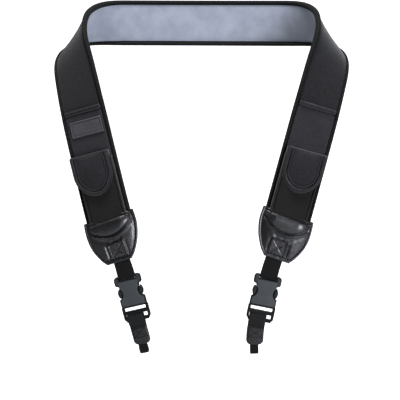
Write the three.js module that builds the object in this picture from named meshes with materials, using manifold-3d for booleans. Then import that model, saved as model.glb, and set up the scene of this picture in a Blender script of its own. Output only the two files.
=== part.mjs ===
// A camera neck strap as it hangs round a neck: a padded neoprene band with a grey inner face and bound edges,
// a pocket on each side, a leather tip at each end, and a side-release buckle between each tip and the short
// narrow lead that ties to a camera's strap lug.
//
// Millimetres, +Z up, -Y towards the viewer in front of the wearer. The origin is on the inner face of the band,
// in the middle of the nape. "Left" and "right" are as seen from the front. Every soft piece is drawn in the
// strap's own coordinates: s along the strap from the nape, t across it towards the inner edge, and h out from
// its mid-plane, away from the wearer.
import * as THREE from "three";
import { mergeVertices } from "three/addons/utils/BufferGeometryUtils.js";
import Module from "manifold-3d";

// Half of the strap, from the nape to the free end, a row for each section. Over its length a section bends
// about the strap's width, twists about its length and sways outwards in its own plane, in degrees. Swing is the
// sway that both halves share towards the right. Step is the spacing of the cross-sections along it.
const SECTIONS = [
  { name: "nape", length: 104, bend: 4.5, twist: 0, sway: 0, swing: 0, step: 26 },
  { name: "turn", length: 118, bend: 118, twist: 87, sway: 8, swing: 0, step: 7.4 },
  { name: "shoulder", length: 76, bend: 10, twist: 15, sway: 1.5, swing: 0, step: 12.7 },
  { name: "chest", length: 117, bend: 6.5, twist: 2, sway: 0.5, swing: 0, step: 24 },
  { name: "tip", length: 57, bend: 0, twist: 0, sway: -5, swing: 0, step: 9.5 },
  { name: "webbing", length: 19.8, bend: 8, twist: 0, sway: 7.1, swing: 1.6, step: 6.6 },
  { name: "buckle", length: 57, bend: 0, twist: 0, sway: 0, swing: 0, step: 19 },
  { name: "tail", length: 30.6, bend: 3, twist: 0, sway: 7.4, swing: 6.6, step: 10.2 },
  { name: "lead", length: 13, bend: 0, twist: 0, sway: 0, swing: 0, step: 6.5 },
];
const NAPE_LEAN = 5.9; // the band leans this far towards the viewer at its top edge, in degrees
const SLIDE = 3; // the band has slid this far round the neck to the left
const SLIDE_BELOW = 1.5; // of that, what is left below the webbing
const TIP_SLANT = 0.07; // the tip's top edge drops this much for each step outwards
const SOFTENING = 14; // each turn eases in and out over this length either side
const ROUTE_STEP = 1;
const BELT_STEP = 8; // longest straight stretch of webbing
const BEND_CORNER = 0.6; // cut off the webbing's corners as it turns round a bar

const GAP = 0.3; // between touching pieces
const LAYER_GAP = 0.1; // between the two layers of a doubled ribbon

// The band, across and through.
const BAND_WIDTH = 57;
const CORE_TOP = 2.0;
const CORE_BOTTOM = -1.6;
const LINING_THICK = 0.8;
const BINDING_THICK = 0.7;
const BINDING_REACH = 5; // from the band's edge inwards
const EDGE_ROUND = 1;

// The pocket on each side.
const HEM_START = 280;
const HEM_LENGTH = 8;
const HEM_RISE = 2.4;
const PANEL_THICK = 1.3;
const FLAP_START = 336;
const FLAP_LENGTH = 52;
const FLAP_HALF = 25;
const FLAP_MIDDLE = -2.2; // the flap is sewn on a little towards the outer edge
const FLAP_THICK = 2.2;
const FLAP_STRAIGHT = 24; // length of the flap before its end starts to round
const POUCH_START = 344;
const POUCH_HALF = 22;
const POUCH_RISE_MOUTH = 6.0;
const POUCH_RISE_FOOT = 4.2;
const POUCH_WALL = 2.2;
const POUCH_FOOT = 5.5;

// The blank label patch, on the left pocket only.
const LABEL = { start: 294, length: 20, half: 20.5, thick: 1.0 };

// The leather tip: half width, the shift of its middle, and height in front and behind, down its length.
const TIP_OUTLINE = [
  { down: 0, half: 31.8, middle: -0.5, front: 7.8, back: 4.4 },
  { down: 6, half: 32.6, middle: -0.5, front: 7.8, back: 4.6 },
  { down: 16, half: 33.0, middle: -0.5, front: 7.4, back: 4.6 },
  { down: 26, half: 31.8, middle: -0.8, front: 6.8, back: 4.4 },
  { down: 36, half: 29.0, middle: -1.2, front: 6.0, back: 4.0 },
  { down: 46, half: 24.0, middle: -1.8, front: 5.0, back: 3.6 },
  { down: 53, half: 19.6, middle: -2.4, front: 4.0, back: 3.4 },
  { down: 56, half: 16.6, middle: -2.8, front: 3.5, back: 3.3 },
  { down: 57, half: 14.6, middle: -3.0, front: 3.3, back: 3.2 },
];
const TIP_EDGE = 1.3; // half thickness of the stitched edge
const TIP_FLANGE = 3.2; // width of the stitched edge
const PAD_TUCK = 16; // the pad's core reaches this far into the tip
const TUCK_NARROWING = 2.4; // taken off each edge of the core there

// Webbing, leads and their loops.
const WEBBING = { width: 21, thick: 1.4 };
const WEBBING_TUCK = 22;
const TAIL_SHIFT = 2.4; // the tail lies this far to the viewer's left in its slot
const TAB = { start: 557.5, length: 22.5, half: 10.7, thick: 0.9, round: 5.5 };
const LEAD = { width: 10.5, thick: 1.2, tuck: 4.5, loopLength: 12, loopDepth: 10, flat: 0.12, shift: 3.2 };

// The side-release buckle. Its own y runs down from the socket's top, x across and z out.
const SLOT_HALF = 13.4;
const SOCKET = {
  half: 15.9,
  earHalf: 16.8,
  earHeight: 11.4,
  barHeight: 2.8,
  slotHalf: 11,
  slotEnd: 4.9,
  length: 38.5,
  depth: 8,
};
const BAR_DEPTH = 3.6;
const CAVITY = { half: 13.9, depth: 4.8, start: 13 };
const WINDOW = { x: 17.2, y: 20.8, rx: 7.0, ry: 7.8, neckHalf: 12.6 };
const HEAD = { gap: 0.4, x: 6.6, radius: 9.2, depth: 7.2 }; // a lens: the window within a circle about x
const PRONG = { inner: 10.6, outer: 13.5, depth: 4.0, top: 21 };
const TONGUE = { half: 3, top: 18, depth: 3.2 };
const PLUG = {
  half: 16.6,
  start: 38.9,
  length: 57,
  depth: 5.2,
  slot1: 39.7,
  bar1: 44.5,
  slot2: 48.7,
  bar2: 53.8,
};

const MATERIALS = {
  neoprene: { color: 0x2a2a2d, roughness: 0.85, metalness: 0 },
  lining: { color: 0x9297a6, roughness: 0.8, metalness: 0 },
  binding: { color: 0x1c1c1e, roughness: 0.85, metalness: 0 },
  pocket: { color: 0x262422, roughness: 0.85, metalness: 0 },
  leather: { color: 0x3a3a40, roughness: 0.42, metalness: 0 },
  webbing: { color: 0x181a19, roughness: 0.8, metalness: 0 },
  plastic: { color: 0x3c4244, roughness: 0.45, metalness: 0 },
};

// ---------------------------------------------------------------------------------- the strap's route

// Where each section starts, and the bend, twist and sway gathered up to there, in radians. Side is 1 for the
// right half and -1 for the left.
function gather(side) {
  const marks = [{ s: 0, bend: 0, twist: 0, sway: 0 }];
  for (const row of SECTIONS) {
    const last = marks[marks.length - 1];
    marks.push({
      s: last.s + row.length,
      bend: last.bend + THREE.MathUtils.degToRad(row.bend),
      twist: last.twist + THREE.MathUtils.degToRad(row.twist),
      sway: last.sway + THREE.MathUtils.degToRad(row.sway + side * row.swing),
    });
  }
  return marks;
}
const MARKS = gather(1);
const STRAP_END = MARKS[MARKS.length - 1].s;

const sectionStart = (name) => MARKS[SECTIONS.findIndex((row) => row.name === name)].s;
const TIP_START = sectionStart("tip");
const TIP_END = sectionStart("webbing");
const BUCKLE_START = sectionStart("buckle");

// The turn gathered up to s. Beyond the nape the strap is mirrored, so bend counts backwards there.
function gathered(marks, turn, s) {
  const at = Math.min(Math.abs(s), STRAP_END);
  const i = Math.min(marks.findIndex((m) => m.s >= at - 1e-9), marks.length - 1);
  if (i <= 0) return 0;
  const [a, b] = [marks[i - 1], marks[i]];
  const value = a[turn] + ((b[turn] - a[turn]) * (at - a.s)) / (b.s - a.s);
  return turn === "bend" && s < 0 ? -value : value;
}

// The mid-line of one half, drawn as the right one, with its frame at each step: x axis along the strap, y axis
// out, z axis to the inner edge.
function walkRoute(side) {
  const marks = gather(side);
  const rate = (turn, s) =>
    (gathered(marks, turn, s + SOFTENING) - gathered(marks, turn, s - SOFTENING)) / (2 * SOFTENING);
  const turned = new THREE.Quaternion().setFromAxisAngle(
    new THREE.Vector3(1, 0, 0),
    THREE.MathUtils.degToRad(NAPE_LEAN),
  );
  const seat = LINING_THICK + GAP - CORE_BOTTOM;
  const position = new THREE.Vector3(0, seat, 0).applyQuaternion(turned);
  const route = [{ position: position.clone(), turned: turned.clone() }];
  for (let s = 0; s < STRAP_END + SLIDE; s += ROUTE_STEP) {
    const middle = s + ROUTE_STEP / 2;
    const spin = new THREE.Vector3(rate("twist", middle), rate("sway", middle), -rate("bend", middle));
    const angle = spin.length() * ROUTE_STEP;
    const axis = angle > 0 ? spin.normalize() : new THREE.Vector3(1, 0, 0);
    const half = turned.clone().multiply(new THREE.Quaternion().setFromAxisAngle(axis, angle / 2));
    position.add(new THREE.Vector3(ROUTE_STEP, 0, 0).applyQuaternion(half));
    turned.multiply(new THREE.Quaternion().setFromAxisAngle(axis, angle));
    route.push({ position: position.clone(), turned: turned.clone() });
  }
  return route;
}
const RIGHT_ROUTE = walkRoute(1);
const LEFT_ROUTE = walkRoute(-1);

// How far round the neck the strap has slid at s, counted from the nape.
function slide(s) {
  return THREE.MathUtils.lerp(SLIDE, SLIDE_BELOW, THREE.MathUtils.smoothstep(s, TIP_END, BUCKLE_START));
}

// The frame at s, drawn on the right, and the side it is on. From the nape s counts up on the right and down on
// the left.
function frameAt(s, shear = 0) {
  const along = s - slide(Math.abs(s)) - shear;
  const side = along < 0 ? -1 : 1;
  const route = side < 0 ? LEFT_ROUTE : RIGHT_ROUTE;
  const at = Math.min(Math.abs(along) / ROUTE_STEP, route.length - 1.001);
  const [a, b] = [route[Math.floor(at)], route[Math.floor(at) + 1]];
  const share = at - Math.floor(at);
  return {
    side,
    position: a.position.clone().lerp(b.position, share),
    turned: a.turned.clone().slerp(b.turned, share),
  };
}

// How far the strap's cross-lines slant at s: only round the leather tip.
function slant(s) {
  const { smoothstep } = THREE.MathUtils;
  return TIP_SLANT * smoothstep(s, TIP_START - 20, TIP_START - 2) * (1 - smoothstep(s, TIP_START + 20, TIP_END));
}

// The point at (s, t, h).
function place(s, t, h) {
  const { side, position, turned } = frameAt(s, Math.sign(s) * t * slant(Math.abs(s)));
  const point = new THREE.Vector3(0, h, t).applyQuaternion(turned).add(position);
  point.x *= side;
  return point;
}

// Cross-section places from one s to another, spaced as each section says, always with both ends.
function stations(from, to) {
  const found = [from];
  SECTIONS.forEach((row, i) => {
    const start = MARKS[i].s;
    const count = Math.round(row.length / row.step);
    for (let k = 0; k < count; k += 1) {
      for (const s of [start + (k * row.length) / count, -start - (k * row.length) / count]) {
        if (s > from + 1 && s < to - 1) found.push(s);
      }
    }
  });
  return [...new Set([...found, to])].sort((a, b) => a - b);
}

// Evenly spaced places from one s to another.
const evenly = (from, to, count) => Array.from({ length: count + 1 }, (_, i) => from + ((to - from) * i) / count);

// ---------------------------------------------------------------------------------- solid makers

// A closed surface through one outline of [t, h] corners at each place, anticlockwise and all alike in count.
function sweep(upward, outlineAt, side = 1) {
  const places = side > 0 ? upward : upward.toReversed();
  const outlines = places.map((s) => outlineAt(s));
  const corners = outlines[0].length;
  const points = places.flatMap((s, i) => outlines[i].map(([t, h]) => place(side * s, t, h)));
  const index = [];
  for (let i = 0; i + 1 < places.length; i += 1) {
    for (let j = 0; j < corners; j += 1) {
      const next = (j + 1) % corners;
      const [a, b] = [i * corners + j, i * corners + next];
      // Facing walls are split along the same diagonal, so that they stay parallel where the strap twists.
      if (outlines[i][j][0] <= outlines[i][next][0]) index.push(a, a + corners, b + corners, a, b + corners, b);
      else index.push(a, a + corners, b, a + corners, b + corners, b);
    }
  }
  const last = (places.length - 1) * corners;
  const flat = (outline) => outline.map(([t, h]) => new THREE.Vector2(t, h));
  for (const [a, b, c] of THREE.ShapeUtils.triangulateShape(flat(outlines[0]), [])) index.push(a, b, c);
  for (const [a, b, c] of THREE.ShapeUtils.triangulateShape(flat(outlines[outlines.length - 1]), [])) {
    index.push(last + a, last + c, last + b);
  }
  return new THREE.BufferGeometry().setFromPoints(points).setIndex(index);
}

// A flat outline with bevelled corners, from one height to another, with corners across it at the seams too.
function slab(half, low, high, bevel = 0.5, middle = 0, seams = []) {
  const c = Math.min(bevel, half / 2, (high - low) / 2.5);
  const across = [-half + c, ...seams, half - c].map((t) => t + middle);
  const face = (h) => across.map((t) => [t, h]);
  const edge = (t) => (c > 0 ? [[t, low + c], [t, high - c]] : []);
  return [...face(low), ...edge(middle + half), ...face(high).reverse(), ...edge(middle - half).reverse()];
}

// A flat ribbon that follows a path of [s, h] corners, mitred at each, on one side.
function ribbon(side, path, thick, width, middle = 0) {
  const way = (i) => new THREE.Vector2(...path[i + 1]).sub(new THREE.Vector2(...path[i])).normalize();
  const rings = path.map(([s, h], i) => {
    const before = way(Math.max(0, i - 1));
    const after = way(Math.min(path.length - 2, i));
    const along = before.clone().add(after).normalize();
    const reach = thick / 2 / along.dot(after);
    const [x, y] = [-along.y * reach, along.x * reach];
    const [low, high] = [middle - width / 2, middle + width / 2];
    return [
      place(side * (s + x), low, h + y),
      place(side * (s + x), high, h + y),
      place(side * (s - x), high, h - y),
      place(side * (s - x), low, h - y),
    ];
  });
  const index = [0, 2, 1, 0, 3, 2];
  for (let i = 0; i + 1 < rings.length; i += 1) {
    for (let j = 0; j < 4; j += 1) {
      const [a, b] = [i * 4 + j, i * 4 + ((j + 1) % 4)];
      index.push(a, b, b + 4, a, b + 4, a + 4);
    }
  }
  const last = (rings.length - 1) * 4;
  index.push(last, last + 1, last + 2, last, last + 2, last + 3);
  if (side < 0) index.reverse();
  return new THREE.BufferGeometry().setFromPoints(rings.flat()).setIndex(index);
}

// A shape drawn across x and down y, extruded equally in front and behind.
function plate(shape, depth) {
  const geometry = new THREE.ExtrudeGeometry(shape, { depth, bevelEnabled: false, curveSegments: 8 });
  return geometry.translate(0, 0, -depth / 2);
}

const wasm = await Module();
wasm.setup();

function solid(geometry) {
  const bare = geometry.clone();
  bare.deleteAttribute("normal");
  bare.deleteAttribute("uv");
  const merged = mergeVertices(bare, 1e-4);
  return new wasm.Manifold(
    new wasm.Mesh({
      numProp: 3,
      vertProperties: new Float32Array(merged.getAttribute("position").array),
      triVerts: new Uint32Array(merged.index.array),
    }),
  );
}

function geometryOf(manifold) {
  const mesh = manifold.getMesh();
  return new THREE.BufferGeometry()
    .setAttribute("position", new THREE.BufferAttribute(new Float32Array(mesh.vertProperties), 3))
    .setIndex(new THREE.BufferAttribute(new Uint32Array(mesh.triVerts), 1));
}

const cut = (whole, ...tools) => geometryOf(tools.reduce((left, tool) => left.subtract(solid(tool)), solid(whole)));
const overlap = (one, other) => geometryOf(solid(one).intersect(solid(other)));
const join = (...pieces) => geometryOf(pieces.map(solid).reduce((all, piece) => all.add(piece)));

function polygon(corners) {
  return new THREE.Shape(corners.map(([x, y]) => new THREE.Vector2(x, y)));
}

const rectangle = (x0, y0, x1, y1) => polygon([[x0, y0], [x1, y0], [x1, y1], [x0, y1]]);

// The value of a column at a place down a table, in between its rows.
function tableAt(table, column, down) {
  const i = Math.max(1, table.findIndex((row) => row.down >= down - 1e-9));
  const [a, b] = [table[i - 1], table[i]];
  const share = THREE.MathUtils.clamp((down - a.down) / (b.down - a.down), 0, 1);
  return a[column] + (b[column] - a[column]) * share;
}

// ---------------------------------------------------------------------------------- the band

const BAND_HALF = BAND_WIDTH / 2;
const CORE_HALF = BAND_HALF - BINDING_THICK - GAP;
const LINING_TOP = CORE_BOTTOM - GAP;
const LINING_BOTTOM = LINING_TOP - LINING_THICK;
const BAND_END = TIP_START - GAP;
const SEAMS = [BINDING_REACH - BAND_HALF, 0, BAND_HALF - BINDING_REACH];

function neckPad() {
  const tucked = TIP_START + PAD_TUCK;
  const places = [-tucked, -TIP_START, ...stations(-BAND_END, BAND_END), TIP_START, tucked];
  return sweep(places, (s) => {
    const half = Math.abs(s) > BAND_END ? CORE_HALF - TUCK_NARROWING : CORE_HALF;
    return slab(half, CORE_BOTTOM, CORE_TOP, EDGE_ROUND, 0, SEAMS);
  });
}

function padLining() {
  return sweep(stations(-BAND_END, BAND_END), () => slab(CORE_HALF, LINING_BOTTOM, LINING_TOP, 0, 0, SEAMS));
}

// The tape folded round one edge of the band: side is 1 for the inner edge and -1 for the outer one.
function edgeBinding(side) {
  const inner = BAND_HALF - BINDING_REACH;
  const web = CORE_HALF + GAP;
  const top = CORE_TOP + GAP;
  const bottom = LINING_BOTTOM - GAP;
  const outline = [
    [inner, top],
    [web, top],
    [web, bottom],
    [inner, bottom],
    [inner, bottom - BINDING_THICK],
    [BAND_HALF - EDGE_ROUND, bottom - BINDING_THICK],
    [BAND_HALF, bottom + EDGE_ROUND],
    [BAND_HALF, top - EDGE_ROUND],
    [BAND_HALF - EDGE_ROUND, top + BINDING_THICK],
    [inner, top + BINDING_THICK],
  ];
  const turned = side > 0 ? outline : outline.map(([t, h]) => [-t, h]).reverse();
  return sweep(stations(-BAND_END, BAND_END), () => turned);
}

// ---------------------------------------------------------------------------------- the pockets

const PANEL_HALF = BAND_HALF - BINDING_REACH - GAP;
const PANEL_BOTTOM = CORE_TOP + GAP;
const PANEL_TOP = PANEL_BOTTOM + PANEL_THICK;
const POUCH_BOTTOM = PANEL_TOP + GAP;

// The flat panel stitched over the band, with a rolled hem along its top.
function pocketPanel(side) {
  const places = [...evenly(HEM_START, HEM_START + HEM_LENGTH, 6), ...stations(HEM_START + 11, BAND_END)];
  return sweep(places, (s) => {
    const across = (s - HEM_START) / HEM_LENGTH;
    const rise = across < 1 ? HEM_RISE * Math.sin(Math.PI * across) : 0;
    return slab(PANEL_HALF, PANEL_BOTTOM, PANEL_TOP + rise);
  }, side);
}

// The pouch's outer height above the panel.
function pouchTop(s) {
  const share = THREE.MathUtils.clamp((s - POUCH_START) / (BAND_END - POUCH_START), 0, 1);
  return POUCH_BOTTOM + THREE.MathUtils.lerp(POUCH_RISE_MOUTH, POUCH_RISE_FOOT, share);
}

// The pouch: a front wall and two sides sewn to the panel, open at its mouth under the flap.
function pouch(side) {
  const outside = (s) => slab(POUCH_HALF, POUCH_BOTTOM, pouchTop(s), 1.5);
  const inside = (s) => slab(POUCH_HALF - POUCH_WALL, POUCH_BOTTOM - 1, pouchTop(s) - POUCH_WALL);
  const outer = sweep(evenly(POUCH_START, BAND_END, 8), outside, side);
  const cavity = sweep(evenly(POUCH_START - 2, BAND_END - POUCH_FOOT, 8), inside, side);
  return cut(outer, cavity);
}

// The flap: it rises from a fold on the panel, passes over the pouch's mouth and ends in a round tongue.
function flap(side) {
  const fold = 4;
  const end = FLAP_START + FLAP_LENGTH;
  const rounding = FLAP_LENGTH - FLAP_STRAIGHT;
  const places = [
    ...evenly(FLAP_START, FLAP_START + fold, 2),
    ...evenly(FLAP_START + 2 * fold, end - rounding, 2),
    ...evenly(0, 1, 7).slice(1).map((k) => end - rounding + rounding * Math.sin((k * 0.97 * Math.PI) / 2)),
  ];
  return sweep(places, (s) => {
    const beyond = Math.max(0, (s - (end - rounding)) / rounding);
    const half = FLAP_HALF * Math.sqrt(1 - beyond * beyond);
    const lifted = THREE.MathUtils.smoothstep(s, FLAP_START - fold / 2, FLAP_START + fold);
    const low = THREE.MathUtils.lerp(POUCH_BOTTOM, pouchTop(s) + GAP, lifted);
    return slab(half, s < POUCH_START - 1 ? POUCH_BOTTOM : low, low + FLAP_THICK, 0.6, FLAP_MIDDLE);
  }, side);
}

function labelPatch(side) {
  const outline = slab(LABEL.half, POUCH_BOTTOM, POUCH_BOTTOM + LABEL.thick, 0.3);
  return sweep([LABEL.start, LABEL.start + LABEL.length], () => outline, side);
}

// ---------------------------------------------------------------------------------- the leather tip

// The tip's outline at a place down it: a thin stitched edge, and a crowned body in front and behind.
function tipOutline(down) {
  const half = tableAt(TIP_OUTLINE, "half", down);
  const middle = tableAt(TIP_OUTLINE, "middle", down);
  const front = tableAt(TIP_OUTLINE, "front", down);
  const back = tableAt(TIP_OUTLINE, "back", down);
  const body = half - TIP_FLANGE;
  const outline = [
    [-half, -TIP_EDGE],
    [-body, -back + 0.6],
    [-body / 2, -back],
    [body / 2, -back],
    [body, -back + 0.6],
    [half, -TIP_EDGE],
    [half, TIP_EDGE],
    [body, front - 1.8],
    [body / 2, front],
    [-body / 2, front],
    [-body, front - 1.8],
    [-half, TIP_EDGE],
  ];
  return outline.map(([t, h]) => [t + middle, h]);
}

function leatherTip(side) {
  const rows = TIP_OUTLINE.map((row) => TIP_START + row.down);
  const body = sweep(rows, (s) => tipOutline(s - TIP_START), side);
  const core = slab(CORE_HALF - TUCK_NARROWING + GAP, CORE_BOTTOM - GAP, CORE_TOP + GAP, EDGE_ROUND);
  const padRoom = sweep([TIP_START - 2, TIP_START + PAD_TUCK + GAP], () => core, side);
  const sewn = WEBBING.thick + LAYER_GAP + GAP;
  const strip = slab(WEBBING.width / 2 + GAP, -sewn, sewn, 0);
  const webbingRoom = sweep(evenly(TIP_END - WEBBING_TUCK - GAP, TIP_END + 2, 4), () => strip, side);
  return cut(body, padRoom, webbingRoom);
}

// ---------------------------------------------------------------------------------- webbing, tab and lead

// The path of a ribbon doubled back on itself: two layers sewn together as far as openFrom, then apart round
// the bight, which is given as its corners on the near side of the mid-plane.
function doubled(sewnEnd, openFrom, thick, bight) {
  const layer = (thick + LAYER_GAP) / 2;
  const flat = evenly(sewnEnd, openFrom, Math.ceil(Math.abs(openFrom - sewnEnd) / BELT_STEP));
  const front = [...flat.map((s) => [s, layer]), ...bight];
  return [...front, ...front.map(([s, h]) => [s, -h]).reverse()];
}

// The bight round a buckle's bar.
function roundBar(near, far) {
  const way = Math.sign(far - near);
  const out = BAR_DEPTH / 2 + GAP + WEBBING.thick / 2;
  const beyond = far + way * (GAP + WEBBING.thick / 2);
  return [
    [near - way * 2, out],
    [beyond - way * BEND_CORNER, out],
    [beyond, out - BEND_CORNER],
  ];
}

function upperWebbing(side) {
  const bight = roundBar(BUCKLE_START, BUCKLE_START + SOCKET.barHeight);
  const path = doubled(TIP_END - WEBBING_TUCK, TIP_END + 3, WEBBING.thick, bight);
  return ribbon(side, path, WEBBING.thick, WEBBING.width);
}

const TAB_END = TAB.start + TAB.length;
const TAIL_SEWN_END = TAB_END - 7;
const LEAD_START = TAB_END - LEAD.tuck;

// The tail and what is sewn to it hang off the middle of the slot, by the same amount on both sides.
const tailMiddle = (side) => side * TAIL_SHIFT;

// The tail turns round the buckle's lower bar in a loose loop that fills the slot.
function tailWebbing(side) {
  const bight = roundBar(BUCKLE_START + PLUG.length, BUCKLE_START + PLUG.slot2 + WEBBING.thick + 2 * GAP);
  const path = doubled(TAIL_SEWN_END, TAB.start - 1.5, WEBBING.thick, bight);
  return ribbon(side, path, WEBBING.thick, WEBBING.width, tailMiddle(side));
}

// The leather tab that closes the tail: a front and a back leaf, joined below the tail's end.
function endTab(side) {
  const faces = WEBBING.thick + LAYER_GAP + GAP;
  const leadFaces = LEAD.thick + LAYER_GAP + GAP;
  const middle = tailMiddle(side);
  const half = (s) => {
    const beyond = Math.max(0, (s - (TAB_END - TAB.round)) / TAB.round);
    return TAB.half - TAB.round * (1 - Math.sqrt(1 - beyond * beyond));
  };
  const leaf = (s) => slab(half(s), -faces - TAB.thick, faces + TAB.thick, 0.3, middle);
  const tail = slab(TAB.half + 2, -faces, faces, 0.1, middle);
  const sewnLead = slab(LEAD.width / 2 + GAP, -leadFaces, leadFaces, 0.1, side * LEAD.shift);
  const body = sweep([TAB.start, ...evenly(TAB_END - TAB.round, TAB_END, 4)], leaf, side);
  const tailRoom = sweep([TAB.start - 2, TAIL_SEWN_END + GAP], () => tail, side);
  const leadRoom = sweep([TAIL_SEWN_END - 1, TAB_END + 2], () => sewnLead, side);
  return cut(body, tailRoom, leadRoom);
}

// The narrow lead: doubled, sewn into the tab and open at its end in a loop for the camera's lug.
function lead(side) {
  const along = LEAD.loopLength / 2 - LEAD.thick / 2;
  const out = LEAD.loopDepth / 2 - LEAD.thick / 2;
  const middle = STRAP_END - LEAD.loopLength / 2;
  const bight = evenly(0.8 * Math.PI, LEAD.flat * Math.PI, 6).map((angle) => [
    middle + along * Math.cos(angle),
    out * Math.sin(angle),
  ]);
  const path = doubled(LEAD_START, TAB_END, LEAD.thick, bight);
  return ribbon(side, path, LEAD.thick, LEAD.width, side * LEAD.shift);
}

// ---------------------------------------------------------------------------------- the buckle

// The socket's face: ears at the top, a waist, two release windows and the mouth's collar.
function socketFace() {
  const { half, earHalf, earHeight, length } = SOCKET;
  const r = 3;
  const shape = new THREE.Shape();
  const windowTop = WINDOW.y - WINDOW.ry;
  shape.moveTo(-earHalf + r, 0);
  shape.lineTo(earHalf - r, 0);
  shape.quadraticCurveTo(earHalf, 0, earHalf, r);
  shape.lineTo(earHalf, earHeight - 2);
  shape.quadraticCurveTo(earHalf, earHeight, earHalf - 2, earHeight);
  shape.lineTo(WINDOW.neckHalf, earHeight + 1);
  shape.lineTo(WINDOW.neckHalf, windowTop);
  shape.lineTo(half, windowTop);
  shape.lineTo(half, length);
  shape.lineTo(-half, length);
  shape.lineTo(-half, windowTop);
  shape.lineTo(-WINDOW.neckHalf, windowTop);
  shape.lineTo(-WINDOW.neckHalf, earHeight + 1);
  shape.lineTo(-earHalf + 2, earHeight);
  shape.quadraticCurveTo(-earHalf, earHeight, -earHalf, earHeight - 2);
  shape.lineTo(-earHalf, r);
  shape.quadraticCurveTo(-earHalf, 0, -earHalf + r, 0);
  return shape;
}

const ellipse = (x, y, rx, ry) => new THREE.Shape().absellipse(x, y, rx, ry, 0, 2 * Math.PI, false, 0);

function socket() {
  const { barHeight, slotHalf, slotEnd, depth, length } = SOCKET;
  const windows = [-1, 1].map((side) => plate(ellipse(side * WINDOW.x, WINDOW.y, WINDOW.rx, WINDOW.ry), depth + 2));
  const slot = plate(rectangle(-slotHalf, barHeight, slotHalf, slotEnd), depth + 2);
  const cavity = plate(rectangle(-CAVITY.half, CAVITY.start, CAVITY.half, length + 1), CAVITY.depth);
  const shave = (depth - BAR_DEPTH) / 2 + 1;
  const barFaces = [-1, 1].map((side) =>
    plate(rectangle(-slotHalf, -1, slotHalf, barHeight + 0.5), shave).translate(0, 0, side * (BAR_DEPTH + shave) / 2),
  );
  return cut(plate(socketFace(), depth), slot, cavity, ...windows, ...barFaces);
}

// The plug: a frame with two slots, two springy prongs whose heads fill the windows, and a guiding tongue.
function plug() {
  const { half, start, length, depth, slot1, bar1, slot2, bar2 } = PLUG;
  const frame = plate(roundedFoot(half, start, length), depth);
  const tongue = plate(rectangle(-TONGUE.half, TONGUE.top, TONGUE.half, start + 0.1), TONGUE.depth);
  const prongs = [-1, 1].flatMap((side) => {
    const arm = rectangle(
      Math.min(side * PRONG.inner, side * PRONG.outer),
      PRONG.top,
      Math.max(side * PRONG.inner, side * PRONG.outer),
      start + 0.1,
    );
    const inWindow = ellipse(side * WINDOW.x, WINDOW.y, WINDOW.rx - HEAD.gap, WINDOW.ry - HEAD.gap);
    const round = ellipse(side * HEAD.x, WINDOW.y, HEAD.radius, HEAD.radius);
    return [plate(arm, PRONG.depth), overlap(plate(inWindow, HEAD.depth), plate(round, 20))];
  });
  const slots = [
    plate(rectangle(-SLOT_HALF, slot1, SLOT_HALF, bar1), 20),
    plate(rectangle(-SLOT_HALF, slot2, SLOT_HALF, bar2), 20),
  ];
  const bridge = plate(rectangle(-PRONG.outer, start - 2.2, PRONG.outer, slot1), PRONG.depth);
  const shave = (depth - BAR_DEPTH) / 2 + 1;
  const barFaces = [-1, 1].map((side) =>
    plate(rectangle(-SLOT_HALF, bar2 - 0.5, SLOT_HALF, length + 1), shave).translate(
      0,
      0,
      (side * (BAR_DEPTH + shave)) / 2,
    ),
  );
  return cut(join(frame, tongue, ...prongs, bridge), ...slots, ...barFaces);
}

// The plug frame's outline, with rounded lower corners.
function roundedFoot(half, start, end) {
  const r = 4.5;
  const shape = new THREE.Shape();
  shape.moveTo(-half, start);
  shape.lineTo(half, start);
  shape.lineTo(half, end - r);
  shape.quadraticCurveTo(half, end, half - r, end);
  shape.lineTo(-half + r, end);
  shape.quadraticCurveTo(-half, end, -half, end - r);
  return shape;
}

// A group whose x runs across the strap, y down it and z out, at the buckle's top.
function buckleGroup(side) {
  const group = new THREE.Group();
  const { position, turned } = frameAt(side * (BUCKLE_START + PLUG.length / 2));
  const [along, out, across] = [0, 1, 2].map((i) =>
    new THREE.Vector3().setComponent(i, 1).applyQuaternion(turned),
  );
  group.quaternion.setFromRotationMatrix(new THREE.Matrix4().makeBasis(across, along, out));
  group.position.copy(position).addScaledVector(along, -PLUG.length / 2);
  return group;
}

// ---------------------------------------------------------------------------------- the assembly

function mesh(name, material, geometry) {
  const made = new THREE.Mesh(geometry, new THREE.MeshStandardMaterial(MATERIALS[material]));
  made.name = name;
  return made;
}

// The socket and plug of one side, mirrored on the left.
function buckle(side, name) {
  const group = new THREE.Group();
  const made = buckleGroup(side);
  made.add(mesh(`buckle_socket_${name}`, "plastic", socket()), mesh(`buckle_plug_${name}`, "plastic", plug()));
  group.scale.x = side;
  return group.add(made);
}

// Everything that one side has of its own.
function half(side, name) {
  return new THREE.Group().add(
    mesh(`pocket_panel_${name}`, "pocket", pocketPanel(side)),
    mesh(`pocket_pouch_${name}`, "pocket", pouch(side)),
    mesh(`pocket_flap_${name}`, "neoprene", flap(side)),
    mesh(`leather_tip_${name}`, "leather", leatherTip(side)),
    mesh(`webbing_${name}`, "webbing", upperWebbing(side)),
    buckle(side, name),
    mesh(`tail_webbing_${name}`, "webbing", tailWebbing(side)),
    mesh(`end_tab_${name}`, "leather", endTab(side)),
    mesh(`lead_${name}`, "webbing", lead(side)),
  );
}

const strap = new THREE.Group();
strap.add(
  mesh("neck_pad", "neoprene", neckPad()),
  mesh("pad_lining", "lining", padLining()),
  mesh("binding_inner", "binding", edgeBinding(1)),
  mesh("binding_outer", "binding", edgeBinding(-1)),
  half(1, "right"),
  half(-1, "left"),
  mesh("label_patch", "leather", labelPatch(-1)),
);

export default strap;
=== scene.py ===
import math
from functools import partial

import bmesh
import bpy
import numpy as np
from mathutils import Matrix, Vector


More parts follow.
